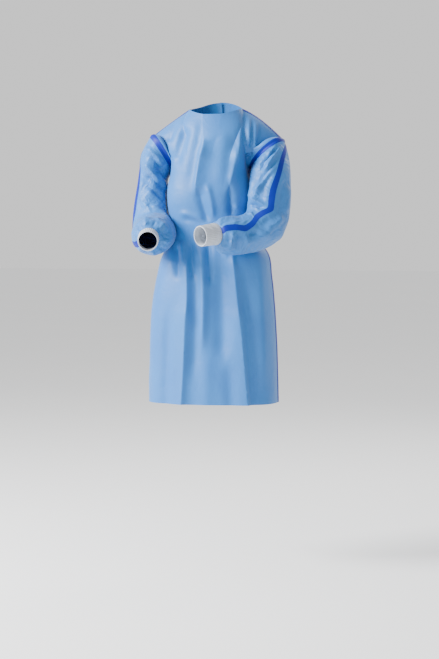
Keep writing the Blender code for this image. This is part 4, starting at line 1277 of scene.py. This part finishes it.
@dataclass
class Body:
    """The front, the two back panels and the sleeves: the gown's cloth, as grids and as pieces."""

    room: Workroom
    pattern: Pattern = field(default_factory=Pattern)
    wall: float = 0.0007
    tape_wall: float = 0.00035
    tape_lift: float = 0.00015
    body_rumple: Rumple = Rumple(0.00040, 0.070, 11)
    sleeve_rumple: Rumple = Rumple(0.00190, 0.050, 23, 8)
    grids: dict[str, Array] = field(default_factory=dict)
    normals: dict[str, Array] = field(default_factory=dict)

    def lifted(
        self, grid: Array, folds: tuple[Crease, ...], still: Array, rumple: Rumple
    ) -> Array:
        """A panel's grid with its folds and its rumple.

        Args:
            grid: The plain grid.
            folds: Its folds.
            still: The share of each point that stays.
            rumple: Its small waves.

        Returns:
            The moved grid.
        """
        seen = to_sight(grid)
        relief = np.zeros(grid.shape[:-1])
        for fold in folds:
            relief += fold.lift(seen[..., 0], seen[..., 2])
        lift = (relief + rumple.lift(grid)) * (1 - still)
        return grid + outward_normals(grid) * lift[..., None]

    def sleeve_still(self, grid: Array, face: Face) -> Array:
        """The share of a sleeve's points that the folds of one face leave alone.

        Args:
            grid: The sleeve's grid.
            face: Front or back.

        Returns:
            The share at each point.
        """
        rows, columns = grid.shape[:2]
        row, column = np.arange(rows)[:, None] / FINE, np.arange(columns)[None, :] / FINE
        last, near_seam = (rows - 1) / FINE, np.minimum(column, (columns - 1) / FINE - column)
        ends = np.maximum(1 - ease(row - 1, 0, 2), ease(row, last - 3, last))
        facing = ease(outward_normals(grid) @ from_sight((0, face.forward, 0)), -0.1, 0.4)
        return np.maximum(np.maximum(ends, 1 - ease(near_seam - 1, 0, 1)), 1 - facing)

    def gathered(self, grid: Array, side: Side) -> Array:
        """A sleeve's grid with the puckers that its cuff draws in.

        Args:
            grid: The sleeve's grid.
            side: Its side.

        Returns:
            The moved grid.
        """
        columns = grid.shape[1]
        turns = np.arange(columns)[None, :] / (columns - 1)
        beyond = np.cumsum(np.linalg.norm(np.diff(grid, axis=0), axis=2)[::-1], axis=0)[::-1]
        distance = np.concatenate([beyond, np.zeros((1, columns))])
        near_seam = np.minimum(turns, 1 - turns) * (columns - 1) / FINE
        lift = sum(gather.lift(turns, distance) for gather in GATHERS[side])
        return grid + outward_normals(grid) * (lift * ease(near_seam, 1, 2))[..., None]

    def drape(self) -> None:
        """Works out the grids and normals of all the cloth."""
        cut, rumple = self.pattern, self.body_rumple
        halves = [cut.half_panel(side, Face.FRONT) for side in (Side.RIGHT, Side.LEFT)]
        front = joined(halves[0], halves[1][:, ::-1][:, 1:])
        still = cut.body_still(front.shape, True)
        self.grids["front"] = self.lifted(front, PANEL_CREASES[Face.FRONT], still, rumple)
        for side in Side:
            back = cut.half_panel(side, Face.BACK)
            still = cut.body_still(back.shape, False)
            if side is Side.RIGHT:
                back, still = back[:, ::-1], still[:, ::-1]
            back = self.lifted(back, PANEL_CREASES[Face.BACK], still, rumple)
            if side is Side.RIGHT:
                back = cut.tucked(back[:, ::-1])[:, ::-1]
            self.grids[f"back_{side.value}"] = back
        half = front.shape[1] // 2
        for side, part in ((Side.LEFT, slice(half, None)), (Side.RIGHT, slice(half))):
            panels = self.grids["front"][:, part], self.grids[f"back_{side.value}"]
            grid = cut.sleeve(side, joined(*(panel[::FINE, ::FINE] for panel in panels)))
            for face in Face:
                folds, still = SLEEVE_CREASES[side, face], self.sleeve_still(grid, face)
                grid = self.lifted(grid, folds, still, self.sleeve_rumple)
            self.grids[side.value] = self.gathered(grid, side)
        self.normals = {key: outward_normals(grid) for key, grid in self.grids.items()}
        for side in Side:
            self.join_normals(side)

    def beside(self, side: Side, grids: dict[str, Array]) -> tuple[Array, Array, Array]:
        """A side's sleeve, front and back, with columns that count alike on both sides.

        Args:
            side: The side.
            grids: The grids or the normals.

        Returns:
            Views of the sleeve, its back half first, and of the front and the back from the
            side seam.
        """
        tube, front, back = grids[side.value], grids["front"], grids[f"back_{side.value}"]
        if side is Side.LEFT:
            return tube, front[:, ::-1], back
        return tube[:, ::-1], front, back[:, ::-1]

    def join_normals(self, side: Side) -> None:
        """Gives the walls that meet at a side's seams one normal along them.

        Args:
            side: The side.
        """
        tube, front, back = self.beside(side, self.normals)
        ring, taped = self.pattern.ring_cells * FINE, self.pattern.taped * FINE
        back[1:, 0] = front[1:, 0] = meeting(back[1:, 0], front[1:, 0])
        sewn = slice(ring + 1, taped + 1)
        back[0, sewn] = front[0, sewn] = meeting(front[0, sewn], back[0, sewn])
        tube[:, 0] = tube[:, -1] = meeting(tube[:, 0], tube[:, -1])
        halves = (front[0, : ring + 1], tube[0, ring:]), (back[0, : ring + 1], tube[0, ring::-1])
        means = [meeting(*half) for half in halves]
        for end, column in ((0, ring), (-1, 0)):
            body = unit(front[0, : ring + 1][end] + back[0, : ring + 1][end])
            means[0][end] = means[1][end] = meeting(body, unit(tube[0, column]))
        for half, mean in zip(halves, means):
            for wall in half:
                wall[:] = mean

    def tapes(self, side: Side) -> dict[str, Piece]:
        """Makes a side's seam tapes from the panels' own points, moved out.

        Args:
            side: The side.

        Returns:
            The tapes by the seam that they cover.
        """
        ring, taped = self.pattern.ring_cells * FINE, self.pattern.taped * FINE
        left = side is Side.LEFT
        strips: dict[str, list[Array]] = {}
        sewn = slice(taped, ring - 1, -1) if left else slice(ring, taped + 1)
        near, below = slice(FINE + 1), slice(FINE, None)
        for grids in (self.grids, self.normals):
            tube, (_, front, back) = grids[side.value], self.beside(side, grids)
            first, second = (front, back) if left else (back, front)
            hole = joined(first[near, ring::-1], second[near, 1 : ring + 1])
            found = {
                "sleeve": joined(tube[below, -FINE - 1 : -1], tube[below, near]),
                "side": joined(first[below, FINE:0:-1], second[below, near]),
                "shoulder": np.concatenate([back[FINE:0:-1, sewn], front[near, sewn]]),
                "armhole": np.concatenate([tube[FINE:0:-1, ::-1], hole]),
            }
            for key, strip in found.items():
                strips.setdefault(key, []).append(strip)
        made = {}
        for key, (points, normals) in strips.items():
            name = f"{key}_tape_{side.value}"
            cloth = points + normals * (self.tape_lift + self.tape_wall), normals
            film = self.room.shell(name + "_film", cloth, self.tape_wall, self.room.tape)
            made[key] = self.room.finish_piece(film, "tape", name)
        return made

    def make(self) -> dict[str, Piece]:
        """Makes the panels, the sleeves and their tapes.

        Returns:
            The panels and sleeves by name.
        """
        self.drape()
        tapes = {side: self.tapes(side) for side in Side}
        nodes = {
            "front": "front_panel",
            "back_left": "back_panel_left",
            "back_right": "back_panel_right",
            "left": "sleeve_left",
            "right": "sleeve_right",
        }
        pieces = {}
        for key, node in nodes.items():
            finish = self.room.sleeve_cloth if node.startswith("sleeve") else self.room.cloth
            cloth = self.grids[key], self.normals[key]
            made = self.room.shell(f"{node}_cloth", cloth, self.wall, finish)
            pieces[key] = self.room.finish_piece(made, "cloth", node)
        return pieces


class RepeatTree(NodeTree):
    """A Geometry Nodes tree that repeats or sweeps something along lines."""

    def __init__(self, name: str, sizes: dict[str, float], finish: Material) -> None:
        """Starts a tree that turns its lines into curves.

        Args:
            name: The name of the piece that it makes.
            sizes: Its inputs and their values.
            finish: The material that it sets.
        """
        super().__init__(bpy.data.node_groups.new(name + "_tree", "GeometryNodeTree"))
        face, self.name = self.tree.interface, name
        for way in ("INPUT", "OUTPUT"):
            face.new_socket("Geometry", in_out=way, socket_type="NodeSocketGeometry")
        self.sizes, self.finish = {}, finish
        for key, value in sizes.items():
            socket = face.new_socket(key, in_out="INPUT", socket_type="NodeSocketFloat")
            self.sizes[socket.identifier] = value
        self.size = self.node("NodeGroupInput").outputs
        self.curve = self.node("GeometryNodeMeshToCurve", _0=self.size[0]).outputs[0]

    def grow(self, lines: list[Array], last: bpy.types.NodeSocket) -> Piece:
        """Ends the tree, runs it on some lines and keeps the plain mesh.

        Args:
            lines: Each line's points.
            last: The geometry before it is realized.

        Returns:
            The piece.
        """
        real = self.node("GeometryNodeRealizeInstances", _0=last)
        dressed = self.node("GeometryNodeSetMaterial", _0=real.outputs[0], Material=self.finish)
        self.node("NodeGroupOutput", _0=dressed.outputs[0])
        points = np.concatenate(lines)
        ends = np.cumsum([len(line) for line in lines])
        edges = [(k, k + 1) for k in range(len(points) - 1) if k + 1 not in ends]
        mesh = bpy.data.meshes.new(self.name + "_lines")
        mesh.from_pydata(points.tolist(), edges, [])
        guide = shown(self.name + "_lines", mesh)
        modifier = guide.modifiers.new("repeat", "NODES")
        modifier.node_group = self.tree
        for key, value in self.sizes.items():
            modifier[key] = value
        graph = bpy.context.evaluated_depsgraph_get()
        grown = bpy.data.meshes.new_from_object(guide.evaluated_get(graph))
        grown.name = self.name
        grown.shade_smooth()
        guide.modifiers.remove(modifier)
        bpy.data.objects.remove(guide)
        return shown(self.name, grown)


@dataclass(frozen=True)
class StitchRow:
    """A row of lockstitches along lines on the cloth."""

    pitch: float = 0.0032
    length: float = 0.0022
    thickness: float = 0.00034

    def sew(self, name: str, lines: list[Array], finish: Material) -> Piece:
        """Sews the rows.

        Args:
            name: The piece's name.
            lines: The points of each row.
            finish: The thread.

        Returns:
            The stitches, one mesh.
        """
        sizes = {"Pitch": self.pitch, "Length": self.length, "Thickness": self.thickness}
        tree = RepeatTree(name, sizes, finish)
        spaced = {"Curve": tree.curve, "Length": tree.size["Pitch"]}
        points = tree.node("GeometryNodeCurveToPoints", {"mode": "LENGTH"}, **spaced).outputs
        grain = tree.node("GeometryNodeMeshUVSphere", Segments=6, Rings=4, Radius=0.5)
        tangent = points["Tangent"]
        turn = tree.node("FunctionNodeAlignRotationToVector", {"axis": "X"}, Vector=tangent)
        thick = tree.size["Thickness"]
        scale = tree.node("ShaderNodeCombineXYZ", X=tree.size["Length"], Y=thick, Z=thick)
        rows = tree.node(
            "GeometryNodeInstanceOnPoints",
            Points=points["Points"],
            Instance=grain.outputs["Mesh"],
            Rotation=turn.outputs[0],
            Scale=scale.outputs[0],
        )
        return tree.grow(lines, rows.outputs[0])


@dataclass(frozen=True)
class RibSet:
    """Raised ribs that follow lines, as on a knit cuff."""

    radius: float = 0.0011

    def knit(self, name: str, lines: list[Array], finish: Material) -> Piece:
        """Sweeps the ribs.

        Args:
            name: The piece's name.
            lines: The points of each rib.
            finish: The yarn.

        Returns:
            The ribs, one mesh.
        """
        tree = RepeatTree(name, {"Radius": self.radius}, finish)
        round_it = {"Resolution": 8, "Radius": tree.size["Radius"]}
        ring = tree.node("GeometryNodeCurvePrimitiveCircle", {"mode": "RADIUS"}, **round_it)
        profile = {"Profile_Curve": ring.outputs[0], "Fill_Caps": True}
        swept = tree.node("GeometryNodeCurveToMesh", Curve=tree.curve, **profile)
        return tree.grow(lines, swept.outputs[0])


@dataclass
class Cuff:
    """An elastic rib cuff, on from the end of a sleeve."""

    side: Side
    room: Workroom
    length: float = 0.062
    taper: float = 0.93
    swell: float = 0.012
    wall: float = 0.0016
    gap: float = 0.0003
    rows: int = 19
    ribs: int = 36
    waviness: float = 0.0005

    def make(self, ring: Array) -> None:
        """Makes the cuff and its ribs.

        Args:
            ring: The sleeve's last row of points.
        """
        loop = ring[:-1]
        middle = loop.mean(axis=0)
        spokes = unit(loop - middle)
        axis = unit(np.cross(loop[4 * FINE] - middle, loop[9 * FINE] - middle))
        inward = from_sight((-1.0 if self.side is Side.LEFT else 0.1, -0.8, -0.2))
        axis = axis * np.sign(axis @ inward)
        share = np.linspace(0, 1, self.rows)[:, None, None]
        size = (1 - (1 - self.taper) * share) * (1 + self.swell * np.sin(share * pi * 5))
        grid = middle + (loop - middle) * size + axis * (self.gap + self.length * share)
        normals = np.broadcast_to(spokes, grid.shape)
        name = f"cuff_{self.side.value}"
        cloth = grid - normals * self.waviness, normals
        made = self.room.shell(f"{name}_knit", cloth, self.wall, self.room.knit, closed=True)
        self.room.finish_piece(made, "cuff", name)
        places = np.linspace(0, len(loop), self.ribs, endpoint=False).astype(int)
        lines = [grid[:, k] - spokes[k] * self.waviness for k in places]
        ribs = RibSet().knit(f"{name}_ribs", lines, self.room.knit)
        self.room.finish_piece(ribs, "cuff")


@dataclass
class BackClosure:
    """The open back's fastenings: the neck tab, the waist ties, their knot and tails."""

    body: Body
    strip_wall: float = 0.0006
    strip_lift: float = 0.0002
    tail_cells: int = 5
    tail_draw: int = 3
    knot_half: Point = (0.015, 0.0055, 0.018)
    knot_wraps: int = 3
    knot_power: float = 0.62
    knot_lift: float = 0.0004
    stitch_lift: float = 0.0001

    @property
    def thick(self) -> float:
        """How far a strip's outer face is from the panel."""
        return self.strip_lift + self.strip_wall

    def patch(self, panel: str, *part: slice) -> Cloth:
        """A part of a panel: its points and its normals."""
        return self.body.grids[panel][part], self.body.normals[panel][part]

    def strip(self, name: str, cloth: Cloth, napped: bool = False) -> Piece:
        """Makes a flat strip of cloth that lies on a panel.

        Args:
            name: Its node.
            cloth: The panel's points under it, and which way is out there.
            napped: Whether it is the napped tab.

        Returns:
            The strip.
        """
        finish, slot = (self.body.room.tab, "tab") if napped else (self.body.room.cloth, "cloth")
        points, normals = cloth
        outer = points + normals * self.thick, normals
        made = self.body.room.shell(f"{name}_strip", outer, self.strip_wall, finish)
        return self.body.room.finish_piece(made, slot, name)

    def tie(self, side: Side, columns: slice) -> None:
        """Makes a waist tie.

        Args:
            side: The side of the panel that it lies on.
            columns: The panel's columns under it.
        """
        waist = self.body.pattern.waist * FINE
        cloth = self.patch(f"back_{side.value}", slice(waist, waist + FINE + 1), columns)
        made = self.strip(f"waist_tie_{side.value}", cloth)

    def knot(self, place: Array, facing: Array) -> Piece:
        """Makes the ties' knot: a rounded pad with the wraps of the tie on it.

        Args:
            place: Its middle.
            facing: Which way it faces.

        Returns:
            The knot.
        """
        aside = unit(np.cross(facing, np.array([0, 0, 1.0])))
        upward = np.cross(aside, facing)
        u, v = np.meshgrid(np.linspace(0, 2 * pi, 65)[:-1], np.linspace(pi / 2, -pi / 2, 33))
        waves = [np.cos(v), np.cos(u), np.sin(u), np.sin(v)]
        level, x, y, z = (np.sign(wave) * np.abs(wave) ** self.knot_power for wave in waves)
        x, y = level * x, level * y
        wrap = 0.5 + 0.5 * np.cos((z * 1.6 + x * 0.7) * pi * self.knot_wraps / 2)
        swell = 0.90 + 0.10 * wrap**0.6
        shares = x * swell, y * swell, z * (0.94 + 0.06 * wrap)
        grid = np.broadcast_to(place, (*x.shape, 3))
        for share, half, axis in zip(shares, self.knot_half, (aside, facing, upward)):
            grid = grid + (share * half)[..., None] * axis
        rows, columns = x.shape
        points = np.concatenate([grid[0, :1], grid[1:-1].reshape(-1, 3), grid[-1, :1]])
        index = np.arange(1, len(points) - 1).reshape(rows - 2, columns)
        index = joined(index, index[:, :1])
        a, b, c, d = index[:-1, :-1], index[1:, :-1], index[1:, 1:], index[:-1, 1:]
        faces = np.stack([a, b, c, d], axis=-1).reshape(-1, 4).tolist()
        for column in range(columns):
            faces.append([0, index[0, column], index[0, column + 1]])
            faces.append([len(points) - 1, index[-1, column + 1], index[-1, column]])
        made = self.body.room.piece("tie_knot_wraps", points, faces, self.body.room.cloth)
        return self.body.room.finish_piece(made, "cloth", "tie_knot")

    def tail(self, side: Side, shift: int, drawn: int) -> tuple[Piece, Array]:
        """Makes one tail of the ties.

        Args:
            side: Whose tie's end it is.
            shift: How many fine columns before the lap's edge it starts.
            drawn: How many columns it is drawn in by at the knot.

        Returns:
            The tail, and the line of stitches across its end.
        """
        edge, top = self.body.grids["back_left"].shape[1] - 1, (self.body.pattern.waist + 1) * FINE
        rows = slice(top, top + self.tail_cells * FINE)
        first, last = edge - shift + 2, edge - shift + FINE - 1
        spread = ease(np.arange(self.tail_cells * FINE), 0, 2 * FINE)[:, None, None]
        under = self.patch("back_left", rows, slice(first + drawn, last + drawn))
        free = self.patch("back_left", rows, slice(first, last))
        points, facing = (a * (1 - spread) + b * spread for a, b in zip(under, free))
        facing = unit(facing)
        made = self.strip(f"tie_tail_{side.value}", (points, facing))
        return made, points[-3] + facing[-3] * (self.thick + self.stitch_lift)

    def make(self) -> list[Piece]:
        """Makes the closure.

        Returns:
            The pieces sewn or tied to the left back panel.
        """
        cut, grids = self.body.pattern, self.body.grids
        edge, other = (grids[key].shape[1] - 1 for key in ("back_left", "back_right"))
        self.tie(Side.LEFT, slice(FINE, edge - FINE // 2))
        reach = other - (cut.centre - cut.lap_cells + 1) * FINE
        self.tie(Side.RIGHT, slice(reach, other + 1 - FINE))
        rows, columns = slice(FINE, 2 * FINE + 1), slice(edge - 3 * FINE, edge - FINE // 2)
        points, normals = self.patch("back_left", rows, columns)
        tab = self.strip("neck_tab", (points, normals), napped=True)
        seam = (points + normals * (self.thick + self.stitch_lift))[1:-1, 1:-1]
        lines = [np.concatenate([seam[0], seam[1:, -1], seam[-1, ::-1][1:], seam[::-1, 0][1:]])]
        tails = []
        for side, shift, drawn in ((Side.LEFT, 2 * FINE, self.tail_draw), (Side.RIGHT, FINE, 0)):
            made, line = self.tail(side, shift, drawn)
            tails.append(made)
            lines.append(line)
        waist = cut.waist * FINE
        points, normals = self.patch("back_left")
        ends = (waist, waist + FINE), (edge - FINE, edge)
        facing = unit(normals[ends].sum(axis=0))
        lift = self.thick + self.knot_half[1] + self.knot_lift
        knot = self.knot(points[ends].mean(axis=0) + facing * lift, facing)
        stitches = StitchRow().sew("closure_stitches", lines, self.body.room.thread)
        self.body.room.finish_piece(stitches, "cloth")
        return [tab, knot, *tails]


@dataclass
class EdgeStitching:
    """The rows of stitches along the neck's edge and round each sleeve's end."""

    body: Body
    neck_inset: float = 0.006
    end_inset: int = 3
    lift: float = 0.0001

    def make(self) -> None:
        """Sews the rows."""
        taped, room = self.body.pattern.taped * FINE, self.body.room
        parts = {"front": (taped, -taped), "back_left": (taped, None), "back_right": (0, -taped)}
        neck = []
        for key, ends in parts.items():
            grid, normal = self.body.grids[key], self.body.normals[key]
            line = grid[0] + unit(grid[1] - grid[0]) * self.neck_inset + normal[1] * self.lift
            neck.append(line[slice(*ends)])
        cuffs = []
        for side in Side:
            grid, normal = self.body.grids[side.value], self.body.normals[side.value]
            cuffs.append(grid[-self.end_inset] + normal[-self.end_inset] * self.lift)
        for name, lines in (("neck_stitches", neck), ("cuff_stitches", cuffs)):
            room.finish_piece(StitchRow().sew(name, lines, room.thread), "cloth")


@dataclass(frozen=True)
class SoftLight:
    """A square light: its name, its place across the line of sight, its side and its watts."""

    name: str
    place: Point
    size: float
    power: float


@dataclass(frozen=True)
class Studio:
    """The floor, the sky, the soft lights and the camera."""

    floor_z: float = -1.47
    floor_half: float = 30.0
    sky: float = 0.95
    gown_middle: Point = (0.0, 0.0, -0.45)
    eye: Point = (0.011, -6.0, -0.32)
    aim: Point = (0.011, 0.0, -0.70)
    lens: float = 102.4
    sensor: float = 36.0
    lights: tuple[SoftLight, ...] = (
        SoftLight("key_light", (-3.6, -1.3, 1.5), 2.0, 620.0),
        SoftLight("back_light", (1.8, 2.6, 1.6), 2.0, 50.0),
    )

    def stand(self, name: str, data: bpy.types.ID, places: tuple[Point, Point]) -> Piece:
        """Stands a light or a camera in the scene.

        Args:
            name: Its name.
            data: Its light or camera.
            places: Where it stands and what it faces, across the line of sight.

        Returns:
            The object.
        """
        made = shown(name, data)
        start, end = (Vector(from_sight(place).tolist()) for place in places)
        made.location = start
        made.rotation_euler = (end - start).to_track_quat("-Z", "Y").to_euler()
        return made

    def make(self) -> None:
        """Builds the studio."""
        corners = [(-1, -1), (1, -1), (1, 1), (-1, 1)]
        mesh = bpy.data.meshes.new("studio_floor")
        places = [(x * self.floor_half, y * self.floor_half, self.floor_z) for x, y in corners]
        mesh.from_pydata(places, [], [(0, 1, 2, 3)])
        mesh.materials.append(StudioFloor().make())
        shown("studio_floor", mesh)
        world = bpy.data.worlds.new("studio_world")
        bpy.context.scene.world = world
        world.use_nodes = True
        background = world.node_tree.nodes["Background"]
        background.inputs["Color"].default_value = (1.0, 1.0, 1.0, 1.0)
        background.inputs["Strength"].default_value = self.sky
        for soft in self.lights:
            light = bpy.data.lights.new(soft.name, "AREA")
            light.energy, light.size = soft.power, soft.size
            self.stand(soft.name, light, (soft.place, self.gown_middle))
        camera = bpy.data.cameras.new("camera")
        camera.lens, camera.sensor_width = self.lens, self.sensor
        bpy.context.scene.camera = self.stand("camera", camera, (self.eye, self.aim))


def main() -> None:
    """Builds the gown piece by piece, then the studio."""
    sleeve_film = FilmCloth("gown_sleeve_film", crinkle_depth=0.0016, facet_depth=0.0015)
    finishes = FilmCloth(), sleeve_film, SeamFilm(), RibKnit(), HookTab(), SewingThread()
    room = Workroom(*(finish.make() for finish in finishes))
    body = Body(room)
    pieces = body.make()
    for side in Side:
        Cuff(side, room).make(body.grids[side.value][-1])
    on_back = BackClosure(body).make()
    EdgeStitching(body).make()
    Studio().make()
    log.info("%d pieces", len(room.made))


if __name__ == "__main__":
    main()
